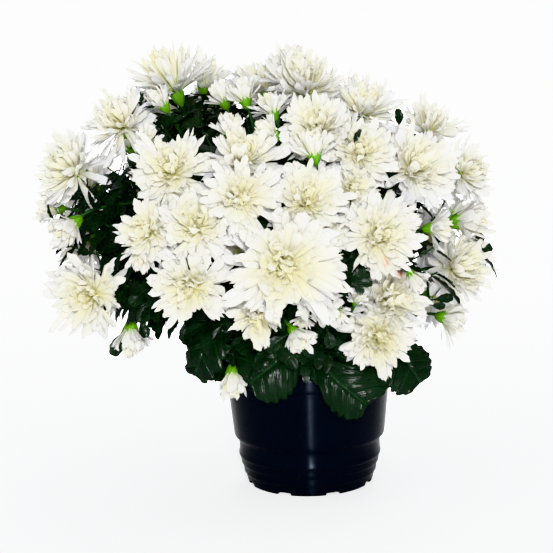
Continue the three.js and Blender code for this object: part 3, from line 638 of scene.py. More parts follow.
# where the canopy is open to the dark leaves inside it, seen from the front: x, z and radius on the plane y = -100
EYE = np.array([-22.7, -894.0, 271.0])
OPEN = [
    (-68.9, 134.5, 9.0), (-79.5, 144.5, 4.0), (-57.5, 143.5, 4.5), (-46.5, 148.5, 3.5), (-123.1, 161.9, 5.5), (-125.0, 152.8, 6.0), (-119.2, 172.4, 4.0),
    (-131.0, 166.0, 4.5), (10.8, 130.0, 9.5), (1.5, 138.0, 6.0), (-4.1, 125.0, 6.0), (-40.6, 282.6, 4.5), (-32.6, 275.3, 3.5),
    (-124.7, 237.1, 6.5), (-122.5, 224.0, 5.5), (-16.5, 136.0, 7.0), (-13.9, 151.1, 4.0), (76.5, 178.1, 5.0),
    (-41.0, 121.5, 4.1), (-50.5, 127.3, 4.4), (-34.4, 118.0, 3.5), (-165.1, 228.6, 4.4), (-158.5, 234.2, 3.6), (-152.5, 239.0, 2.6), (-117.1, 180.8, 5.5),
    (-67.3, 283.4, 3.6), (-96.5, 271.3, 3.8), (-32.4, 212.5, 3.8), (-142.0, 190.5, 3.6), (-140.3, 151.1, 3.6), (-133.0, 146.0, 3.6),
    (6.7, 254.8, 3.0), (38.1, 178.8, 3.0), (71.6, 180.6, 3.0), (-23.5, 128.0, 4.5), (-28.5, 121.5, 4.5),
    (-108.3, 147.1, 3.0), (-63.0, 134.0, 5.0), (-85.5, 139.5, 3.5), (34.0, 171.5, 3.5),
    (31.5, 187.0, 4.8), (25.3, 155.0, 3.4), (-79.0, 147.6, 5.5), (-132.5, 217.3, 3.5), (-11.1, 153.8, 5.2), (-36.7, 276.8, 5.0),
    (-160.8, 232.6, 3.4), (-53.9, 274.2, 2.5), (-60.0, 276.4, 2.5), (-67.0, 279.6, 3.6), (-118.8, 181.1, 4.4), (-116.1, 178.9, 3.2), (-136.5, 128.0, 3.2), (-156.8, 235.3, 3.0), (-54.2, 135.6, 3.2), (-75.4, 303.5, 2.6),
    (-90.8, 277.2, 4.0), (30.8, 187.1, 3.6), (21.6, 116.0, 3.4), (45.3, 105.4, 3.2), (5.2, 134.3, 4.0), (-16.9, 144.8, 3.4), (-129.6, 172.7, 3.2), (-134.7, 182.6, 3.2),
    (85.7, 195.3, 3.0), (78.3, 181.5, 2.6), (-43.6, 128.6, 3.2), (-98.3, 276.8, 3.2),
    (26.6, 187.9, 3.4), (34.9, 186.2, 3.2), (-84.7, 273.7, 2.8), (5.2, 133.6, 4.0),
    (23.2, 157.1, 3.8),
    (-29.7, 135.3, 3.5), (-33.8, 139.6, 3.0), (41.1, 106.2, 4.0), (26.4, 108.8, 3.6), (62.3, 111.3, 3.6), (-10.4, 152.4, 4.2), (-139.6, 150.4, 3.6), (-117.7, 139.9, 4.2), (-127.5, 252.3, 4.0), (-146.8, 236.4, 5.0), (-86.1, 144.0, 3.0), (-87.3, 130.5, 3.4),
    (36.6, 91.3, 4.5), (41.5, 89.7, 4.0), (32.5, 94.3, 3.6),
    (60.8, 107.1, 4.2), (67.8, 107.6, 4.2), (74.2, 111.0, 3.4), (25.4, 130.2, 3.0), (30.6, 105.8, 3.4),
    (-11.0, 156.7, 3.0), (-140.9, 152.6, 3.0),
]
# where no leaf or twig shows: background, or petals of the heads in front
CLEAR = [
    (-128.0, 268.0, 9.0), (-120.0, 262.0, 7.0), (-136.0, 257.0, 6.5), (-145.0, 250.5, 6.0), (-112.0, 271.0, 6.0), (-100.5, 113.0, 12.0), (-109.0, 121.0, 9.0), (-96.0, 102.0, 8.0),
    (-133.5, 129.0, 7.5), (-122.0, 122.0, 8.0), (42.0, 163.0, 9.0), (50.0, 155.0, 9.0), (23.0, 161.5, 6.0), (30.0, 150.5, 4.5),
    (-152.0, 192.0, 7.0), (-159.0, 186.0, 7.0), (84.0, 185.0, 6.5), (92.0, 178.0, 6.0), (78.0, 214.5, 4.5), (78.5, 200.0, 4.5), (101.5, 220.0, 4.0),
    (-125.8, 146.5, 5.0), (-122.0, 137.9, 4.0), (-99.8, 133.7, 7.5), (-109.7, 131.2, 6.0), (-114.9, 124.2, 6.0), (62.0, 118.0, 4.5), (70.0, 113.5, 5.0), (78.0, 108.5, 5.0), (88.5, 125.0, 5.0), (-152.0, 196.0, 5.0), (-55.5, 107.5, 6.5), (-178.0, 214.0, 5.0), (-184.0, 206.0, 6.0),
    (82.9, 132.8, 6.5), (73.0, 126.0, 4.0), (84.9, 126.4, 4.0), (79.3, 123.7, 3.0),
]


def from_front(P):
    t = (-100 - EYE[1]) / (P[..., 1] - EYE[1])
    return (EYE + (P - EYE) * t[..., None])[..., [0, 2]]


def within(Q, circles):
    """For (..., 2) points on the front plane: how far each lies inside the nearest circle, as a share of its radius."""
    c = np.array(circles)
    d = np.linalg.norm(Q[..., None, :] - c[:, :2], axis=-1) / c[:, 2]
    return 1 - d.min(-1)


HEADS = []
for name, p, d, r in FLOWERS:
    HEADS.append(dict(name=name, p=np.array(p, float), d=unit(d), r=float(r), kind="flower", node=name))
for name, p, d, r in SIDE_HEADS:
    HEADS.append(dict(name=name, p=np.array(p, float), d=unit(d), r=float(r), kind="flower", node=None))
for name, p, d, r in LARGE_BUDS:
    HEADS.append(dict(name=name, p=np.array(p, float), d=unit(d), r=float(r), kind="bud", node=name))
for name, p, d, r in SMALL_BUDS:
    HEADS.append(dict(name=name, p=np.array(p, float), d=unit(d), r=float(r), kind="bud", node=None))
for h in HEADS:
    h["planes"] = []
    h["reach"] = (0.89 if h["kind"] == "flower" else 1.0) * h["r"]
for i, a in enumerate(HEADS):
    for b in HEADS[:i]:
        g = b["p"] - a["p"]
        dist = np.linalg.norm(g)
        if dist >= a["reach"] + b["reach"]:
            continue
        g = g / dist
        at = a["p"] + g * dist * a["reach"] / (a["reach"] + b["reach"])
        a["planes"].append((g, at @ g))
        b["planes"].append((-g, -(at @ g)))


def sepals(local, n, r0, z0, z1, flare, width, length, frame_m, origin, build, green, slot):
    """A ring of pointed bracts pressed on the underside of a head."""
    s = np.linspace(0, 1, 5)
    x = np.array([-1.0, 0.0, 1.0])
    az = (np.arange(n) + local.uniform(-0.1, 0.1, n)) * TAU / n + local.uniform(0, TAU)
    w = np.array([0.8, 1.0, 0.85, 0.5, 0.06])
    rr = (r0 + (flare - r0) * s ** 0.85)[None, :, None]
    zz = (z0 + (z1 - z0) * s ** 1.15)[None, :, None]
    a = az[:, None, None] + (x[None, None, :] * w[None, :, None] * width * 0.5) / np.maximum(rr, 0.3)
    bulge = 0.10 * width * (1 - x ** 2)[None, None, :]
    P = np.stack([(rr + bulge) * np.cos(a), (rr + bulge) * np.sin(a), np.broadcast_to(zz, a.shape)], -1)
    P = P @ frame_m.T + origin
    UV = np.stack(np.broadcast_arrays(x[None, None, :] * 0.5 + 0.5, s[None, :, None]), -1)
    C = green * np.array([1.0, 1.0, 1.0]) * local.uniform(0.85, 1.1, (n, 1, 1, 1)) * (0.8 + 0.35 * s)[None, :, None, None]
    build.grids(P, UV, C, slot)


def cup(local, profile, sides, frame_m, origin, build, green, slot):
    a = np.linspace(0, TAU, sides + 1)
    prof = np.array(profile, float)
    P = np.stack([prof[:, None, 0] * np.cos(a)[None, :], prof[:, None, 0] * np.sin(a)[None, :], np.broadcast_to(prof[:, None, 1], (len(prof), len(a)))], -1)[None]
    P = P @ frame_m.T + origin
    UV = np.stack(np.broadcast_arrays(a[None, None, :] / TAU, np.linspace(0, 1, len(prof))[None, :, None]), -1)
    build.grids(P, UV, np.broadcast_to(green, (1, len(prof), len(a), 3)), slot, flip=False)


GREEN_BUD = np.array([0.088, 0.25, 0.012])
GREEN_HEAD = np.array([0.085, 0.23, 0.018])

made = []
for i, h in enumerate(HEADS):
    local = np.random.default_rng(900 + 37 * i)
    axis = unit(np.array(TURNED.get(h["name"], h["d"]), float))
    B = basis(axis)
    turn = local.uniform(0, TAU)
    B = B @ np.array([[math.cos(turn), -math.sin(turn), 0], [math.sin(turn), math.cos(turn), 0], [0, 0, 1]])
    R = h["r"]
    build = Build()
    if h["kind"] == "flower":
        origin = h["p"] - axis * 0.16 * R
        opened = OPENNESS.get(h["name"], 0) + local.uniform(-8, 2)
        rows, fresh = ROWS, 0.0
        if h["name"] == "flower_01":
            rows, fresh, opened = FAN, 0.9, 0
            origin = origin + np.array([-4.0, 0.0, -10.0])
            R = 28.0
        if h["name"] == "flower_12":
            R = 42.5
        if h["name"] == "flower_05":
            origin, R = origin + np.array([0.8, 0, 2.0]), 1.03 * R
        if h["name"] == "flower_06":
            origin, R = origin + np.array([-3.5, 0, 0.5]), 1.04 * R
        if h["name"] == "flower_24":
            origin, R = origin + np.array([1.5, 0, 3.0]), 34.0
        if h["name"] in SPREAD:
            rows = [(10, 98, 8, 1.00, 0.110, -0.075, 0.250), (9, 88, 8, 0.96, 0.110, -0.060, 0.240)] + [(n, t, b, (0.90 if h["name"] == "flower_24" else 0.96) * l, rr, rz, w) for n, t, b, l, rr, rz, w in ROWS[2:]]
        behind, level = h["p"][1] > 15, 0
        for P, UV, C, drop in head_rows(R, local, rows, B, open_by=opened, wild=0.6 if fresh else 1.35 if h["name"] in LOOSE else 1.0, slim=0.78 if h["name"] in LOOSE else 1.0, flash_blue=local.uniform(0.2, 0.9), fine_rows=1 if behind else 4, green=fresh):
            P = P @ B.T + origin
            P[..., 2] -= drop
            P = press(P, h["p"], axis, R, h["planes"], 6.5)
            if not behind:
                # florets that would close an opening are short ones, or left out
                limit = 0.16 if level < 5 else 0.5
                for _ in range(3):
                    over = (within(from_front(P[:, P.shape[1] // 2:]), OPEN) > 0).mean((1, 2)) >= limit
                    base = P[:, :1].mean(2, keepdims=True)
                    P = np.where(over[:, None, None, None], base + (P - base) * 0.86, P)
                stay = (within(from_front(P[:, P.shape[1] // 2:]), OPEN) > 0).mean((1, 2)) < limit
                P, UV, C = P[stay], UV[stay], C[stay]
                for sx, sz, sr in RUST_SPOTS:
                    q = from_front(P)
                    mark = np.exp(-((q[..., 0] - sx) ** 2 + (q[..., 1] - sz) ** 2) / sr ** 2)[..., None]
                    C = C * (1 - mark) + RUST * mark
            level += 1
            if len(P):
                build.grids(P, UV, C, 0)
        if fresh:
            cup(local, [(0.045 * R, -0.46 * R), (0.070 * R, -0.42 * R), (0.115 * R, -0.28 * R), (0.17 * R, -0.10 * R), (0.20 * R, 0.02 * R), (0.05 * R, 0.06 * R)], 12, B, origin, build, GREEN_HEAD, 1)
            sepals(local, 10, 0.09 * R, -0.39 * R, 0.08 * R, 0.25 * R, 0.13 * R, 0.3 * R, B, origin, build, GREEN_HEAD * 1.2, 1)
            sepals(local, 8, 0.08 * R, -0.41 * R, -0.08 * R, 0.205 * R, 0.12 * R, 0.3 * R, B, origin, build, GREEN_HEAD, 1)
        else:
            cup(local, [(0.045 * R, -0.40 * R), (0.10 * R, -0.36 * R), (0.15 * R, -0.24 * R), (0.19 * R, -0.12 * R), (0.20 * R, -0.05 * R), (0.05 * R, 0.03 * R)], 12, B, origin, build, GREEN_HEAD, 1)
            sepals(local, 11, 0.11 * R, -0.36 * R, -0.06 * R, 0.25 * R, 0.12 * R, 0.3 * R, B, origin, build, GREEN_HEAD * 1.15, 1)
            sepals(local, 9, 0.10 * R, -0.37 * R, -0.16 * R, 0.20 * R, 0.12 * R, 0.3 * R, B, origin, build, GREEN_HEAD * 0.95, 1)
    else:
        origin = h["p"] - axis * 0.42 * R
        flare = local.uniform(-4, 10)
        if h["name"] in ("bud_18", "bud_11"):
            R, flare = 0.84 * R, min(flare, 0)
        if h["name"] == "bud_04":
            origin = origin + np.array([3.0, 0, -5.0])
            R, flare = 0.78 * R, -3
        if h["name"] == "side_head_02":
            R, flare = 15.5, 12
            origin = origin - np.array([0, 0, 3.0])
        rows = [
            (12, 33 + flare, 14, 1.38, 0.28, -0.05, 0.40),
            (12, 27 + flare, 10, 1.46, 0.25, -0.03, 0.40),
            (11, 19 + 0.7 * flare, 5, 1.44, 0.20, 0.00, 0.38),
            (9, 13 + 0.4 * flare, 0, 1.36, 0.15, 0.03, 0.36),
            (7, 7, -3, 1.26, 0.09, 0.05, 0.34),
            (4, 3, -6, 1.12, 0.03, 0.08, 0.32),
        ]
        if h["node"]:
            rows = [(n, t, b, l, rr, rz, 1.22 * w) for n, t, b, l, rr, rz, w in rows]
        if h["name"] == "bud_12":
            rows = [(7, 24, 0, 1.56, 0.30, -0.05, 0.66), (7, 18, -4, 1.60, 0.24, -0.02, 0.62), (6, 11, -4, 1.50, 0.15, 0.02, 0.56), (4, 4, -4, 1.4, 0.06, 0.05, 0.5)]
        for P, UV, C, drop in head_rows(R, local, rows, B, wild=0.85, flash_blue=local.uniform(0.0, 0.4), warm=0.6, fine_rows=0 if h["p"][1] > 15 else 2, green=0.55):
            P = P @ B.T + origin
            P = press(P, h["p"], axis, R, h["planes"], 3.0)
            build.grids(P, UV, C, 0)
        cup(local, [(0.09 * R, -0.56 * R), (0.17 * R, -0.50 * R), (0.27 * R, -0.34 * R), (0.34 * R, -0.14 * R), (0.35 * R, 0.04 * R), (0.10 * R, 0.10 * R)], 12, B, origin, build, GREEN_BUD, 1)
        sepals(local, 9, 0.19 * R, -0.48 * R, 0.30 * R, 0.49 * R, 0.25 * R, 0.5 * R, B, origin, build, GREEN_BUD * 1.15, 1)
        sepals(local, 8, 0.17 * R, -0.52 * R, 0.06 * R, 0.43 * R, 0.24 * R, 0.5 * R, B, origin, build, GREEN_BUD * 0.85, 1)
    ob = build.mesh(h["name"] + "_head", [PETAL, CALYX])
    finish_piece(ob, "petal", *([h["node"]] if h["node"] else []))
    made.append(ob)


# ---------------------------------------------------------------------- stems
def spline(points, t):
    """Centripetal Catmull-Rom through the points, at parameters t in 0..1."""
    pts = np.asarray(points, float)
    n = len(pts)
    out = []
    for q in np.atleast_1d(t):
        p = (n - 1) * q
        i = min(int(math.floor(p)), n - 2)
        w = p - i
        p0 = pts[i - 1] if i > 0 else 2 * pts[0] - pts[1]
        p1, p2 = pts[i], pts[i + 1]
        p3 = pts[i + 2] if i + 2 < n else 2 * pts[-1] - pts[-2]
        d0 = max(np.sum((p0 - p1) ** 2) ** 0.25, 1e-4)
        d1 = max(np.sum((p1 - p2) ** 2) ** 0.25, 1e-4)
        d2 = max(np.sum((p2 - p3) ** 2) ** 0.25, 1e-4)
        t1 = (p1 - p0) / d0 - (p2 - p0) / (d0 + d1) + (p2 - p1) / d1
        t2 = (p2 - p1) / d1 - (p3 - p1) / (d1 + d2) + (p3 - p2) / d2
        t1, t2 = t1 * d1, t2 * d1
        a, b, c, d = p1, t1, -3 * p1 + 3 * p2 - 2 * t1 - t2, 2 * p1 - 2 * p2 + t1 + t2
        out.append(a + b * w + c * w ** 2 + d * w ** 3)
    return np.array(out)


def tube(line, radii, sides, build, tint, slot=0):
    line = np.asarray(line, float)
    tan = unit(np.gradient(line, axis=0))
    ref = np.array([0.31, 0.95, 0.05])
    a = unit(np.cross(tan, ref))
    b = np.cross(tan, a)
    t = np.linspace(0, TAU, sides + 1)
    ring = a[:, None, :] * np.cos(t)[None, :, None] + b[:, None, :] * np.sin(t)[None, :, None]
    P = line[:, None, :] + ring * np.asarray(radii)[:, None, None]
    along = np.concatenate([[0], np.cumsum(np.linalg.norm(np.diff(line, axis=0), axis=1))]) / 20
    UV = np.stack(np.broadcast_arrays(t[None, :] / TAU, along[:, None]), -1)[None]
    C = np.asarray(tint, float)
    if C.ndim == 2:
        C = C[None, :, None, :]
    build.grids(P[None], UV, C, slot)


def crown_at(z):
    return CROWN_FOOT + (CROWN_TOP - CROWN_FOOT) * (z - CROWN_FOOT[2]) / (CROWN_TOP[2] - CROWN_FOOT[2])


def bearing(p):
    c = crown_at(p[2])
    return math.degrees(math.atan2(p[1] - c[1], p[0] - c[0]))


WOOD = np.array([0.040, 0.038, 0.016])
SHOOT = np.array([0.014, 0.046, 0.012])
YOUNG = np.array([0.060, 0.20, 0.020])


def leaf_grid(rows, cols, lobes, sharp, seed_phase=0.0, depth=0.40, sweep=0.17, broad=0.0, offset=0.0, uneven=0.0):
    """A lobed blade in its own frame: x across, y along 0..1, z up. Returns the across and along coordinates, the quilt
    and trough heights, and the distance to a side vein.
    """
    u = np.linspace(0, 1, rows + 1)[:, None]
    v = np.linspace(-1, 1, cols + 1)[None, :]
    base = np.sin(np.pi * np.clip(0.03 + 0.94 * u, 0, 1)) ** (0.72 - 0.20 * broad) * (1.06 - 0.28 * u * (1 - broad))
    base = base * np.clip(u / (0.16 + 0.1 * broad), 0, 1) ** 0.8 * 0.97 + 0.045
    t = u * lobes + seed_phase + offset * np.sign(v) + uneven * np.sin(5.3 * u * TAU / 2 + 1.3 + 1.9 * np.sign(v)) * np.abs(v) ** 0.3
    lobe = (0.5 - 0.5 * np.cos(TAU * t)) ** sharp
    fine = (0.035 - 0.012 * broad) * np.cos(TAU * t * (3 + broad))
    fade = np.clip(u / 0.12, 0, 1) * np.clip((1 - u) / 0.06, 0, 1)
    w = base * (1 - (depth * (1 - lobe) - fine) * fade)
    # side veins sweep forward, so the rows do too
    y = u + sweep * np.abs(v) ** 1.3 * (1 - u) ** 0.6 * np.clip(u / 0.1, 0, 1)
    x = w * v
    half = np.abs(((t + 0.5 * (1 - broad)) % 1.0) - 0.5) * 2
    half = np.broadcast_to(1 - half, (rows + 1, cols + 1)) * 1.0
    near = 1 - half
    quilt = (near ** 0.55) * np.abs(v) ** 0.6 * (1 - np.abs(v) ** 3) * fade
    trough = -np.exp(-((v / 0.07) ** 2))
    return x + 0 * y, y + 0 * v, quilt, trough + 0 * y, near


def blades(build, base, direction, normal, length, width, droop, fold, tint, rows, cols, lobes, slot=0, sharp=0.8, quilt=0.035, **shape):
    """Many blades at once. base, direction, normal: (M, 3); length, width, droop, fold: (M,) in mm and radians."""
    x, y, q, trough, near = leaf_grid(rows, cols, lobes, sharp, **shape)
    M = len(base)
    d = unit(direction)
    n = unit(normal - np.sum(normal * d, -1, keepdims=True) * d)
    s = np.cross(d, n)
    L = length[:, None, None]
    W = width[:, None, None] * 0.5
    # the midrib curves downwards along its length
    k = np.maximum(np.abs(droop), 1e-3)[:, None, None] * np.sign(droop + 1e-9)[:, None, None]
    along = L * np.sin(k * y[None]) / k
    down = -L * (1 - np.cos(k * y[None])) / k
    X = x[None] * W
    up = down + fold[:, None, None] * np.abs(X) + quilt * L * 0.6 * q[None] + 0.018 * L * trough[None]
    wave = 0.02 * L * np.sin(7 * y[None] + (np.arange(M) * 1.7)[:, None, None]) * x[None] * np.abs(x[None])
    P = base[:, None, None, :] + d[:, None, None, :] * along[..., None] + s[:, None, None, :] * X[..., None] + n[:, None, None, :] * (up + wave)[..., None]
    UV = np.stack(np.broadcast_arrays(np.linspace(0, 1, cols + 1)[None, :], np.linspace(0, 1, rows + 1)[:, None]), -1)[None]
    build.grids(P, UV, tint[:, None, None, :], slot, vein=near[None])
    return P


def inside_head(p):
    """True if a point lies in or in front of an open head."""
    for h in HEADS:
        q = p - h["p"]
        a = q @ h["d"]
        lat = np.linalg.norm(q - a * h["d"])
        if h["kind"] == "flower":
            if -0.16 * h["r"] < a < 1.6 * h["r"] and lat < 0.78 * h["r"]:
                return True
        elif -0.7 * h["r"] < a < 1.8 * h["r"] and lat < 0.75 * h["r"]:
            return True
    return False


# leafy side shoots without a flower, by where they end, in millimetres
TWIG_ENDS = [
    (-87, -30, 291), (-64, -40, 290), (-42, -50, 289), (-100, -60, 279), (-75, -50, 279), (-151, -70, 228), (-143, -80, 213),
    (-131, -85, 199), (-143, -70, 238), (-131, -80, 169), (-113, -88, 156), (-127, -62, 159), (-118, -62, 148), (-128, -30, 150), (92, -60, 188),
    (96, -52, 169), (29, -100, 171), (37, -100, 177), (-27, -90, 130), (6, -80, 127), (-5, -76, 112), (-56, -82, 132), (-73, -82, 141),
    (82, -46, 117), (-27, -108, 220), (25, -101, 184), (132, -14, 181), (-182, -68, 217), (-162, -46, 230), (-150, -40, 214), (-172, -44, 214), (-67, -16, 302), (14, -76, 118),
    (-43, -78, 120), (-172, -58, 196), (62, -62, 120), (-118, -40, 296), (20, -70, 268), (60, -70, 262),
]


class Spray:
    """The leaves of one cutting, gathered before they are built."""

    def __init__(self):
        self.at, self.dir, self.nor, self.len = [], [], [], []

    def leaf(self, at, d, nor, size):
        for shrink in (1.0, 0.8, 0.62):
            L = size * shrink
            tip = at + d * L
            if tip[1] < 30 and (within(from_front(np.array([tip, at + d * L * 0.5, at])), CLEAR) > 0).any():
                continue
            if not (inside_head(tip) or inside_head(at + d * L * 0.6)):
                self.at.append(at)
                self.dir.append(unit(d))
                self.nor.append(unit(nor))
                self.len.append(L)
                return True
        return False


def along_shoot(spray, line, local, step, first, sizes, turn=0.0, last=3.0):
    """Leaves up a shoot, each turned on from the last by the golden angle."""
    seg = np.linalg.norm(np.diff(line, axis=0), axis=1)
    arc = np.concatenate([[0], np.cumsum(seg)])
    j = 0
    a = first
    while a < arc[-1] - last:
        at = np.array([np.interp(a, arc, line[:, c]) for c in range(3)])
        ahead = np.array([np.interp(min(a + 4, arc[-1]), arc, line[:, c]) for c in range(3)])
        tang = unit(ahead - at + 1e-6)
        phi = 2.4 * j + local.uniform(-0.5, 0.5) + turn
        e1 = unit(np.cross(tang, [0.2, 0.1, 1.0]))
        e2 = np.cross(tang, e1)
        rad = unit(e1 * math.cos(phi) + e2 * math.sin(phi) + np.array([0, 0, 0.2]))
        d = unit(rad * 0.85 + tang * local.uniform(0.35, 0.85))
        frac = a / arc[-1]
        size = (sizes[0] * (1 - frac) + sizes[1] * frac) * local.uniform(0.8, 1.2)
        spray.leaf(at, d, tang * 0.8 + np.array([0, 0, 0.6]) - rad * 0.1, size)
        j += 1
        a += step * local.uniform(0.8, 1.2)


def rosette(spray, end, out, local, count, size):
    """The leafy tip of a shoot: leaves spread round it, facing outwards."""
    e1 = unit(np.cross(out, [0.1, 0.2, 1.0]))
    e2 = np.cross(out, e1)
    turn = local.uniform(0, TAU)
    for j in range(count):
        phi = turn + 2.4 * j
        tilt = 0.35 + 0.9 * (1 - j / count)
        rad = e1 * math.cos(phi) + e2 * math.sin(phi)
        d = unit(rad * tilt + out * local.uniform(0.4, 0.8) - np.array([0, 0, 0.15]))
        at = end - out * local.uniform(0, 12) * (1 - j / count)
        spray.leaf(at, d, out * 0.9 - rad * 0.5 + np.array([0, 0, 0.35]), size * (1.15 - 0.5 * j / count) * local.uniform(0.85, 1.15))


# further twigs fill the gaps between the heads, all round the plant
ellipsoid_centre = np.array([-40.0, 0.0, 200.0])
ellipsoid_half = np.array([150.0, 120.0, 118.0])
sample = np.random.default_rng(11)
ends = [np.array(e, float) for e in TWIG_ENDS]
for _ in range(2600):
    z = sample.uniform(-0.62, 0.93)
    az = sample.uniform(0, TAU)
    rr = math.sqrt(1 - z * z)
    q = ellipsoid_centre + ellipsoid_half * np.array([rr * math.cos(az), rr * math.sin(az), z]) * sample.uniform(0.74, 0.90)
    if min(np.linalg.norm(q - h["p"]) / (0.95 * h["r"] if h["kind"] == "flower" else 1.6 * h["r"]) for h in HEADS) < 1:
        continue
    if min(np.linalg.norm(q - e) for e in ends) < 25:
        continue
    if q[1] < -40 and q[2] > 150:
        continue                                  # the front's own list covers it
    ends.append(q)
TWIGS = ends

SHOOTS = []
for k, start in enumerate(SECTORS):
    end = SECTORS[(k + 1) % len(SECTORS)]
    span = (end - start) % 360
    mid = math.radians(start + span / 2)
    outward = np.array([math.cos(mid), math.sin(mid), 0])
    root = CROWN_FOOT + outward * ROOT_RADIUS
    root[2] = SOIL_TOP - ROOT_DEPTH
    tip = crown_at(CANE_TOP) + outward * (CANE_BOW + 4)
    low = root.copy()
    low[2] = SOIL_TOP + 4
    cane_pts = [root, low, crown_at(140) + outward * CANE_BOW, tip]
    wood = Build()
    cane = spline(cane_pts, np.linspace(0.12, 1, 26))
    f = np.linspace(0, 1, 26)
    tube(cane, 3.3 - 1.1 * f, 12, wood, WOOD * (1 - f[:, None]) + SHOOT * f[:, None])
    spray = Spray()
    mine = [h for h in HEADS if ((bearing(h["p"]) - start + 720) % 360) < span]
    for m, h in enumerate(mine):
        local = np.random.default_rng(5000 + 100 * k + m)
        foot_of_head = h["p"] - h["d"] * (0.50 * h["r"] if h["kind"] == "flower" else 0.9 * h["r"])
        back = h["p"] - h["d"] * 0.2 * h["r"]
        level = min(1, max(0, (h["p"][2] - 100) / 200))
        begin = spline(cane_pts, 0.36 + 0.6 * level)[0]
        begin[2] = max(begin[2], SHOOT_FOOT)
        dist = np.linalg.norm(back - begin)
        lean = h["p"] - h["d"] * min(40 if h["kind"] == "flower" else 17, 0.42 * dist)
        hangs = h["d"][2] < -0.45
        if hangs:
            begin = spline(cane_pts, 0.36 + 0.6 * min(1, level + 0.2))[0]
            lean = h["p"] - h["d"] * 22
        rise = 0.5 * (begin + lean) + np.array([0, 0, 26.0 if hangs else 5.0])
        line = spline([begin, rise, lean, back], np.linspace(0, 1, 22))
        keep = (line - foot_of_head) @ h["d"] < 0
        keep[:4] = True
        line = np.concatenate([line[keep], [foot_of_head]])
        g = np.linspace(0, 1, len(line))
        tube(line, 1.6 - 0.5 * g + 0.3 * h["r"] / 10 * np.clip(g - 0.9, 0, 1) * 10, 7, wood, SHOOT * (1 - g[:, None] ** 40) + YOUNG * g[:, None] ** 40)
        SHOOTS.append(line[2:-4])
        along_shoot(spray, line, local, 9.5, 8, (38, 21), m)
    local = np.random.default_rng(7000 + k)
    # leafy twigs
    for q in TWIGS:
        if ((bearing(q) - start + 720) % 360) >= span:
            continue
        level = min(1, max(0, (q[2] - 110) / 190))
        begin = spline(cane_pts, 0.36 + 0.6 * level)[0]
        begin[2] = max(begin[2], SHOOT_FOOT)
        out = unit(q - begin + 1e-6)
        rise = 0.5 * (begin + q) + np.array([0, 0, 4.0])
        line = spline([begin, rise, q], np.linspace(0, 1, 12))
        tube(line, 1.2 - 0.6 * np.linspace(0, 1, 12), 6, wood, SHOOT)
        SHOOTS.append(line[2:-1])
        along_shoot(spray, line, local, 17, 20, (34, 26), local.uniform(0, 6))
        rosette(spray, q, out, local, 8, 25)
    # leaves low on the cane, which fill the middle of the plant
    for j in range(16):
        q = spline(cane_pts, 0.36 + 0.62 * j / 15)[0]
        phi = mid + 2.4 * j + local.uniform(-0.4, 0.4)
        rad = np.array([math.cos(phi), math.sin(phi), 0.25])
        if q[2] < 120:
            q[2] = max(q[2], 104)
            rad = rad + np.array([0, 0, 0.25])
        spray.leaf(q, unit(rad), np.array([0, 0, 1.0]) - 0.2 * rad, local.uniform(38, 52))
    ob = wood.mesh(f"cutting_{k + 1}", [STEM])
    finish_piece(ob, "stem", f"leafy_stem_{k + 1}")
    base, dr, nr, ln = np.array(spray.at), np.array(spray.dir), np.array(spray.nor), np.array(spray.len)
    M = len(base)
    green = np.ones((M, 3)) * local.uniform(0.7, 1.4, (M, 1))
    foliage = Build()
    blades(foliage, base, dr, nr, ln, ln * local.uniform(0.44, 0.60, M), local.uniform(0.25, 1.1, M), local.uniform(0.0, 0.35, M), green, 12, 4, 3, 0, 0.8)
    ob = foliage.mesh(f"foliage_{k + 1}", [LEAF_SMALL])
    finish_piece(ob, "leaf")
    made.append(ob)
    print("leaves on cutting", k + 1, M)

# single leaves that show between the heads: from, to, width
LONE = [
    ((-111.6, -84.0, 158.6), (-120.8, -90.0, 143.3), 9), ((-114.1, -84.0, 167.3), (-127.0, -92.0, 158.1), 9), ((-107.6, -80.0, 163.7), (-113.7, -88.0, 150.7), 9),
    ((73.1, -30.0, 273.1), (70.7, -34.0, 289.3), 6), ((31.6, -100.0, 262.9), (36.3, -104.0, 275.0), 4), ((106.2, -30.0, 223.7), (100.9, -36.0, 231.6), 7),
    ((-15.1, -100.0, 134.2), (-32.1, -106.0, 124.4), 9), ((24.8, -107.0, 168.4), (40.4, -114.0, 179.1), 9), ((33.0, -107.0, 169.0), (42.6, -112.0, 170.1), 5),
    ((29.6, -106.0, 168.3), (36.8, -110.0, 163.2), 5), ((130.9, -16.0, 185.5), (143.9, -20.0, 180.9), 9), ((130.1, -12.0, 183.6), (135.6, -16.0, 193.1), 7),
    ((87.4, -74.0, 151.6), (105.7, -73.0, 153.0), 6), ((85.6, -76.0, 149.0), (98.8, -75.0, 146.2), 5), ((-55.5, -84.0, 135.4), (-74.0, -88.0, 130.2), 10),
    ((-136.4, -60.0, 134.4), (-143.8, -66.0, 115.6), 9), ((11.5, -96.0, 137.0), (15.0, -101.0, 123.0), 8), ((-53.1, -82.0, 124.1), (-67.2, -88.0, 120.6), 7),
    ((-32.8, -84.0, 275.0), (-43.3, -90.0, 269.8), 8), ((-8.0, -90.0, 128.0), (2.0, -94.0, 117.0), 8), ((-62.0, -84.0, 141.0), (-70.0, -90.0, 126.0), 9),
    ((-151.3, -20.0, 192.3), (-140.5, -24.0, 183.2), 11), ((-160.4, -24.0, 196.7), (-149.5, -28.0, 189.2), 10), ((-145.0, -20.0, 230.2), (-134.2, -24.0, 222.6), 11), ((-158.4, -24.0, 223.2), (-148.4, -28.0, 230.7), 10), ((-76.6, -30.0, 279.4), (-66.2, -34.0, 271.8), 10), ((-134.5, -20.0, 262.4), (-125.3, -24.0, 254.7), 10),
    ((-150.1, -30.0, 236.1), (-144.6, -34.0, 245.8), 10), ((-144.1, -30.0, 236.7), (-140.8, -34.0, 247.9), 9),
    ((-121.5, -84.0, 145.2), (-115.8, -88.0, 132.8), 8), ((-90.1, -66.0, 143.7), (-88.3, -72.0, 121.9), 12),
]
local = np.random.default_rng(303)
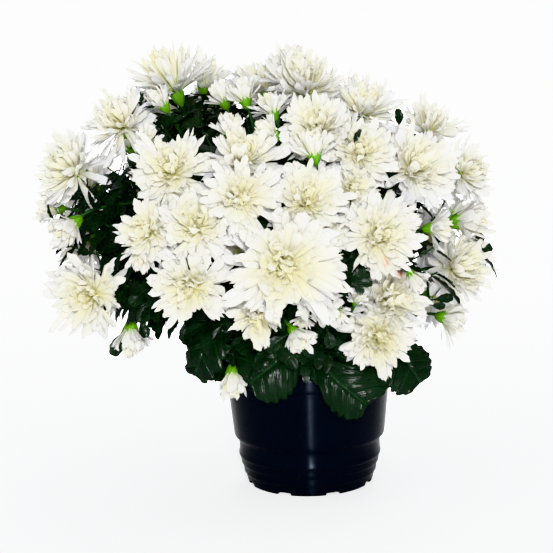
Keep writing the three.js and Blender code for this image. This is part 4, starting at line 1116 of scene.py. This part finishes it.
lone_a, lone_b = np.array([a for a, _, _ in LONE]), np.array([b for _, b, _ in LONE])
lone = Build()
lone_len = np.linalg.norm(lone_b - lone_a, axis=1)
toward = unit(EYE - lone_a)
blades(lone, lone_a, lone_b - lone_a, toward + local.normal(0, 0.25, lone_a.shape) + np.array([0, 0, 0.3]), lone_len, np.array([w for _, _, w in LONE]) * 1.2, local.uniform(0.2, 0.7, len(LONE)),
       local.uniform(0.1, 0.4, len(LONE)), np.ones((len(LONE), 3)) * local.uniform(1.0, 1.5, (len(LONE), 1)), 20, 8, 3, 0, 0.7, 0.05, depth=0.12, sweep=0.3, broad=0.5)
shoot_points = np.concatenate(SHOOTS)
for a, b in zip(lone_a, lone_b):
    inner = shoot_points[(shoot_points[:, 1] > a[1] + 5)]
    inside = inner[np.argmin(np.linalg.norm(inner - a, axis=1))]
    line = spline([a + (b - a) * 0.12, a, 0.5 * (a + inside) + np.array([0, 0, -1.0]), inside], np.linspace(0, 1, 8))
    tube(line, np.full(8, 0.6), 6, lone, np.array([1.2, 1.5, 1.1]))
ob = lone.mesh("lone_leaves", [LEAF_SMALL])
finish_piece(ob, "leaf")

# broad leaves round the foot of the canes, which arch out over the rim
SKIRT = [(-152, 60, 106), (-172, 62, 103), (168, 62, 106), (147, 58, 103), (109, 60, 105), (90, 64, 102), (71, 58, 106), (30, 60, 104),
         (9, 62, 107), (-13, 58, 103), (-120, 44, 110), (-67, 44, 108), (-45, 42, 112), (-102, 40, 112), (-160, 44, 114), (50, 46, 113), (130, 46, 113)]
local = np.random.default_rng(88)
ang = np.radians([a for a, _, _ in SKIRT])
radial = np.stack([np.cos(ang), np.sin(ang), np.zeros(len(ang))], -1)
skirt_base = radial * 31 + np.stack([np.zeros(len(ang)), np.zeros(len(ang)), np.array([z for _, _, z in SKIRT], float)], -1)
skirt_dir = radial * 0.93 + np.array([0, 0, 0.34]) + np.cross(radial, [0, 0, 1.0]) * local.uniform(-0.25, 0.25, (len(ang), 1))
skirt_len = np.array([l for _, l, _ in SKIRT], float)
skirt = Build()
blades(skirt, skirt_base, skirt_dir, np.array([0, 0, 1.0]) + 0 * radial, skirt_len, skirt_len * local.uniform(0.60, 0.70, len(ang)), local.uniform(1.1, 1.5, len(ang)),
       local.uniform(-0.05, 0.15, len(ang)), np.ones((len(ang), 3)) * local.uniform(0.8, 1.2, (len(ang), 1)), 32, 10, 5, 0, 0.7, 0.06, depth=0.22, sweep=0.22, broad=0.6)
ob = skirt.mesh("rim_leaves", [LEAF_BIG])
mod = ob.modifiers.new("thickness", "SOLIDIFY")
mod.thickness = 0.0004
mod.offset = 0
finish_piece(ob, "leaf")


# --------------------------------------------------------------- large leaves
def hung_leaf(name, points, half_width, outward, seed, depth=0.11, sharp=0.6, lobes=7, wide=(1.0, 1.0), sweeps=(0.40, 0.40)):
    """A broad old leaf that hangs over the rim: shallow lobes, and tissue that puffs up between sunken side veins."""
    local = np.random.default_rng(seed)
    rows, cols = 72, 20
    half = np.linspace(-1, 1, cols + 1)[None, :]
    x, y, q, trough, near = leaf_grid(rows, cols, lobes, sharp, 0.15 * local.uniform(-1, 1), depth, np.where(half < 0, sweeps[0], sweeps[1]), 1.0, 0.2, 0.10)
    line = spline(points, np.linspace(0, 1, 40))
    seg = np.linalg.norm(np.diff(line, axis=0), axis=1)
    arc = np.concatenate([[0], np.cumsum(seg)])
    L = arc[-1]
    a = np.clip(y, 0, 1.0) * L
    at = np.stack([np.interp(a, arc, line[:, c]) for c in range(3)], -1)
    extra = np.clip(y - 1.0, 0, None) * L
    grad = unit(np.gradient(line, axis=0))
    tan = unit(np.stack([np.interp(a, arc, grad[:, c]) for c in range(3)], -1))
    at = at + tan * extra[..., None]
    side = unit(np.cross(tan, unit(outward)))
    up = np.cross(side, tan)
    W = half_width * 1.06
    X = x * W * np.where(half < 0, wide[0], wide[1])
    edge = 1.1 * np.sin(9 * y + seed) * np.abs(x) ** 2.5 + 0.6 * np.sin(17 * y + 2 * seed) * np.abs(x) ** 4
    puff = 0.5 * np.sin(23 * y + 9 * np.abs(x) + seed) * np.sin(17 * x - 6 * y) * np.clip(1.2 - np.abs(x), 0, 1)
    h = -0.16 * W * x ** 2 + 1.9 * q - 1.3 * (-trough) + edge + puff
    P = at + side * X[..., None] + up * h[..., None]
    b = Build()
    UV = np.stack(np.broadcast_arrays(np.linspace(0, 1, cols + 1)[None, :], np.linspace(0, 1, rows + 1)[:, None]), -1)[None]
    b.grids(P[None], UV, np.ones((1, 1, 1, 3)) * local.uniform(0.9, 1.15), 0, vein=near[None])
    ob = b.mesh(name + "_blade", [LEAF_BIG])
    mod = ob.modifiers.new("thickness", "SOLIDIFY")
    mod.thickness = 0.0004
    mod.offset = 0
    finish_piece(ob, "leaf", name)
    return ob


for i, (name, pts, w, out) in enumerate(LARGE_LEAVES):
    toothed = name in ("leaf_1", "leaf_5")
    halves = {"leaf_3": {"wide": (1.04, 0.80), "sweeps": (0.62, 0.42)}, "leaf_4": {"wide": (0.82, 0.90)}}.get(name, {})
    made.append(hung_leaf(name, pts, w, out, 60 + i, *((0.24, 0.45, 5) if toothed else (0.11, 0.6, 7)), **halves))


# ------------------------------------------------------------------------ pot
def lathe(profile, sides, materials, name, smooth_angle=40):
    prof = np.array(profile, float)
    a = np.linspace(0, TAU, sides, endpoint=False)
    n, m = len(prof), sides
    verts = np.stack([prof[:, None, 0] * np.cos(a), prof[:, None, 0] * np.sin(a), np.broadcast_to(prof[:, None, 1], (n, m))], -1).reshape(-1, 3) * MM
    faces = []
    for i in range(n - 1):
        for j in range(m):
            j2 = (j + 1) % m
            faces.append((i * m + j, i * m + j2, (i + 1) * m + j2, (i + 1) * m + j))
    me = bpy.data.meshes.new(name)
    me.from_pydata(verts.tolist(), [], faces)
    me.validate()
    ob = bpy.data.objects.new(name, me)
    bpy.context.scene.collection.objects.link(ob)
    for mat in materials:
        me.materials.append(mat)
    return ob


POT_OUT = [
    (0.001, 0.0), (20, 0.0), (40, 0.0), (48.2, 0.0), (49.2, 0.5), (49.8, 2.2), (50.9, 6.6), (51.4, 8.0), (51.9, 8.4), (52.4, 9.2),
    (52.7, 11.0), (53.1, 14.0), (53.5, 15.3), (54.1, 15.8), (54.5, 16.6), (54.8, 18.8), (55.0, 21.2), (55.4, 22.0), (56.0, 22.4), (56.3, 23.2), (56.3, 24.6),
    (56.0, 25.6), (55.8, 27.0), (55.7, 30.0), (55.8, 33.2), (56.3, 35.0), (57.6, 36.8), (58.8, 38.0), (59.4, 39.2), (59.7, 41.0),
    (60.9, 52.0), (62.2, 65.0), (63.4, 77.0), (64.0, 82.0), (64.1, 82.6), (64.5, 82.9), (65.3, 83.1), (65.6, 83.6), (65.9, 86.0), (66.3, 91.0), (66.5, 92.8),
    (66.3, 93.6), (65.7, 94.0), (65.0, 94.0), (64.5, 93.6), (64.3, 92.5), (64.0, 86.0), (63.9, 84.0), (63.5, 82.8), (62.6, 80.0), (60.8, 65.0), (58.5, 43.0), (57.6, 39.0), (54.4, 36.0), (54.2, 26.0),
    (50.6, 8.5), (48.4, 2.3), (47.6, 1.8), (20, 1.8), (0.001, 1.8),
]
pot = lathe(POT_OUT, 128, [pot_material()], "nursery_pot")
# drainage notches around the foot
cutters = bpy.data.meshes.new("notches")
cv, cf = [], []
for k in range(8):
    t = (k + 0.42) * TAU / 8
    c, s = math.cos(t), math.sin(t)
    w, d0, d1, h = 6.5, 43.0, 60.0, 3.4
    ring = [(d0, -w, -2), (d1, -w, -2), (d1, w, -2), (d0, w, -2), (d0, -w + 1.2, h), (d1, -w + 1.2, h), (d1, w - 1.2, h), (d0, w - 1.2, h)]
    o = len(cv)
    cv += [((x * c - y * s) * MM, (x * s + y * c) * MM, z * MM) for x, y, z in ring]
    cf += [tuple(o + q for q in f) for f in ((3, 2, 1, 0), (4, 5, 6, 7), (0, 1, 5, 4), (1, 2, 6, 5), (2, 3, 7, 6), (3, 0, 4, 7))]
cutters.from_pydata(cv, [], cf)
cut_ob = bpy.data.objects.new("notches", cutters)
bpy.context.scene.collection.objects.link(cut_ob)
mod = pot.modifiers.new("cut", "BOOLEAN")
mod.operation = "DIFFERENCE"
mod.solver = "EXACT"
mod.object = cut_ob
bpy.context.view_layer.update()
dg = bpy.context.evaluated_depsgraph_get()
fresh = bpy.data.meshes.new_from_object(pot.evaluated_get(dg))
pot.modifiers.clear()
pot.data = fresh
bpy.data.objects.remove(cut_ob)
pot.data.polygons.foreach_set("use_smooth", np.ones(len(pot.data.polygons), bool))
pot.data.set_sharp_from_angle(angle=math.radians(50))
finish_piece(pot, "pot_plastic", "pot")

# ----------------------------------------------------------------------- soil
def soil_mesh():
    rad = np.concatenate([np.linspace(0.05, 60.5, 44), [61.7]])
    a = np.linspace(0, TAU, 120)
    local = np.random.default_rng(31)
    bumps = [(local.uniform(-60, 60), local.uniform(-60, 60), local.uniform(2.0, 6.0), local.uniform(-0.7, 1.2)) for _ in range(260)]
    X = rad[:, None] * np.cos(a)[None, :]
    Y = rad[:, None] * np.sin(a)[None, :]
    Z = SOIL_TOP + 2.0 * (1 - (rad / 62) ** 2)[:, None] + 0 * X
    for bx, by, br, bh in bumps:
        Z = Z + bh * np.exp(-(((X - bx) ** 2 + (Y - by) ** 2) / br ** 2))
    Z[-1] = SOIL_TOP - 3
    b = Build()
    b.grids(np.stack([X, Y, Z], -1)[None], np.stack([X / 60, Y / 60], -1)[None], np.ones((1, 1, 1, 3)), 0)
    return b.mesh("potting_mix", [soil_material()])


soil = soil_mesh()
finish_piece(soil, "potting_mix", "soil")

# perlite and bark crumbs on the mix
local = np.random.default_rng(77)
crumbs = Build()
t = np.linspace(0, np.pi, 5)
a = np.linspace(0, TAU, 7)
for _ in range(150):
    r, phi = 59 * math.sqrt(local.uniform(0.02, 1)), local.uniform(0, TAU)
    size = local.uniform(0.7, 1.9)
    ball = np.stack([np.sin(t)[:, None] * np.cos(a)[None], np.sin(t)[:, None] * np.sin(a)[None], np.cos(t)[:, None] + 0 * a[None]], -1)
    bump = 1 + 0.25 * np.sin(3 * ball[..., :1] + local.uniform(0, 6)) * np.cos(4 * ball[..., 1:2])
    ball = ball * bump * size * np.array([1, local.uniform(0.7, 1), local.uniform(0.6, 0.9)])
    z = SOIL_TOP + 2.0 * (1 - (r / 62) ** 2) + 0.9
    crumbs.grids((ball + np.array([r * math.cos(phi), r * math.sin(phi), z]))[None], np.zeros((1, 1, 1, 2)), np.ones((1, 1, 1, 3)), 0)
ob = crumbs.mesh("perlite", [perlite_material()])
finish_piece(ob, "potting_mix")

# ---------------------------------------------------------------- the studio
def area(name, place, target, size, power, colour=(1, 1, 1), size_y=None):
    d = bpy.data.lights.new(name, "AREA")
    d.energy = power
    d.color = colour
    d.size = size
    if size_y:
        d.shape = "RECTANGLE"
        d.size_y = size_y
    o = bpy.data.objects.new(name, d)
    bpy.context.scene.collection.objects.link(o)
    o.location = place
    o.rotation_euler = (Vector(target) - Vector(place)).to_track_quat("-Z", "Y").to_euler()
    return o


floor_mesh = bpy.data.meshes.new("floor")
floor_mesh.from_pydata([(-8, -8, 0), (8, -8, 0), (8, 8, 0), (-8, 8, 0)], [], [(0, 1, 2, 3)])
floor = bpy.data.objects.new("floor", floor_mesh)
bpy.context.scene.collection.objects.link(floor)
k = Nodes("studio_floor")
k.put(k.bsdf, Base_Color=(0.84, 0.84, 0.845, 1), Roughness=0.9, Specular_IOR_Level=0.05)
glow = k.new("ShaderNodeEmission")
glow.inputs["Color"].default_value = (1, 1, 1, 1)
away = k.new("ShaderNodeVectorMath", operation="LENGTH")
k.l.new(k.position(), away.inputs[0])
reach = k.ramp(k.math("MULTIPLY", away.outputs["Value"], 0.25), [(0.05, (0.34,) * 3), (0.5, (3.0, 3.0, 3.0))])
path = k.new("ShaderNodeLightPath")
k.l.new(k.math("MULTIPLY", reach, path.outputs["Is Camera Ray"]), glow.inputs["Strength"])
both = k.new("ShaderNodeAddShader")
k.l.new(k.bsdf.outputs[0], both.inputs[0])
k.l.new(glow.outputs[0], both.inputs[1])
k.l.new(both.outputs[0], k.out.inputs[0])
floor_mesh.materials.append(k.mat)

world = bpy.data.worlds.new("studio")
bpy.context.scene.world = world
world.use_nodes = True
wn, wl = world.node_tree.nodes, world.node_tree.links
wn.clear()
w_out = wn.new("ShaderNodeOutputWorld")
w_mix = wn.new("ShaderNodeMixShader")
w_path = wn.new("ShaderNodeLightPath")
w_seen = wn.new("ShaderNodeBackground")
w_seen.inputs[0].default_value = (1, 1, 1, 1)
w_seen.inputs[1].default_value = 3.0
w_lit = wn.new("ShaderNodeBackground")
w_lit.inputs[0].default_value = (0.93, 0.96, 1.0, 1)
w_lit.inputs[1].default_value = 0.34
wl.new(w_path.outputs["Is Camera Ray"], w_mix.inputs[0])
wl.new(w_lit.outputs[0], w_mix.inputs[1])
wl.new(w_seen.outputs[0], w_mix.inputs[2])
wl.new(w_mix.outputs[0], w_out.inputs[0])

area("key", (0.03, -1.05, 0.40), (-0.03, 0, 0.2), 0.09, 8.8)
area("strip", (-0.01, -0.95, 0.06), (0.0, 0, 0.05), 0.015, 2.8, size_y=0.12)
area("fill", (-1.0, -0.9, 0.8), (-0.03, 0, 0.2), 0.9, 2)
area("top", (0.0, 0.1, 1.4), (-0.03, 0, 0.2), 1.2, 9)
area("back", (0.2, 1.3, 0.7), (-0.03, 0, 0.2), 1.0, 13)

scene = bpy.context.scene
scene.view_settings.view_transform = "Khronos PBR Neutral"
scene.view_settings.look = "None"
scene.view_settings.exposure = 0.4
scene.view_settings.gamma = 1.0

# the camera: 553 by 553 pixels, focal length 1150 of them
FOCAL_PX, WIDTH_PX = 1150.0, 553.0
pitch, roll = math.radians(6.9), math.radians(1.6)
fwd = Vector((0, math.cos(pitch), -math.sin(pitch)))
up = Vector((0, math.sin(pitch), math.cos(pitch)))
right = Vector((1, 0, 0))
cr = right * math.cos(roll) - up * math.sin(roll)
cu = right * math.sin(roll) + up * math.cos(roll)
cam_data = bpy.data.cameras.new("camera")
cam_data.sensor_width = 36
cam_data.sensor_fit = "HORIZONTAL"
cam_data.lens = 36 * FOCAL_PX / WIDTH_PX
cam_data.clip_start = 0.01
cam_data.clip_end = 50
camera = bpy.data.objects.new("camera", cam_data)
scene.collection.objects.link(camera)
camera.matrix_world = Matrix((
    (cr.x, cu.x, -fwd.x, -0.0227),
    (cr.y, cu.y, -fwd.y, -0.894),
    (cr.z, cu.z, -fwd.z, 0.271),
    (0, 0, 0, 1),
))
scene.camera = camera
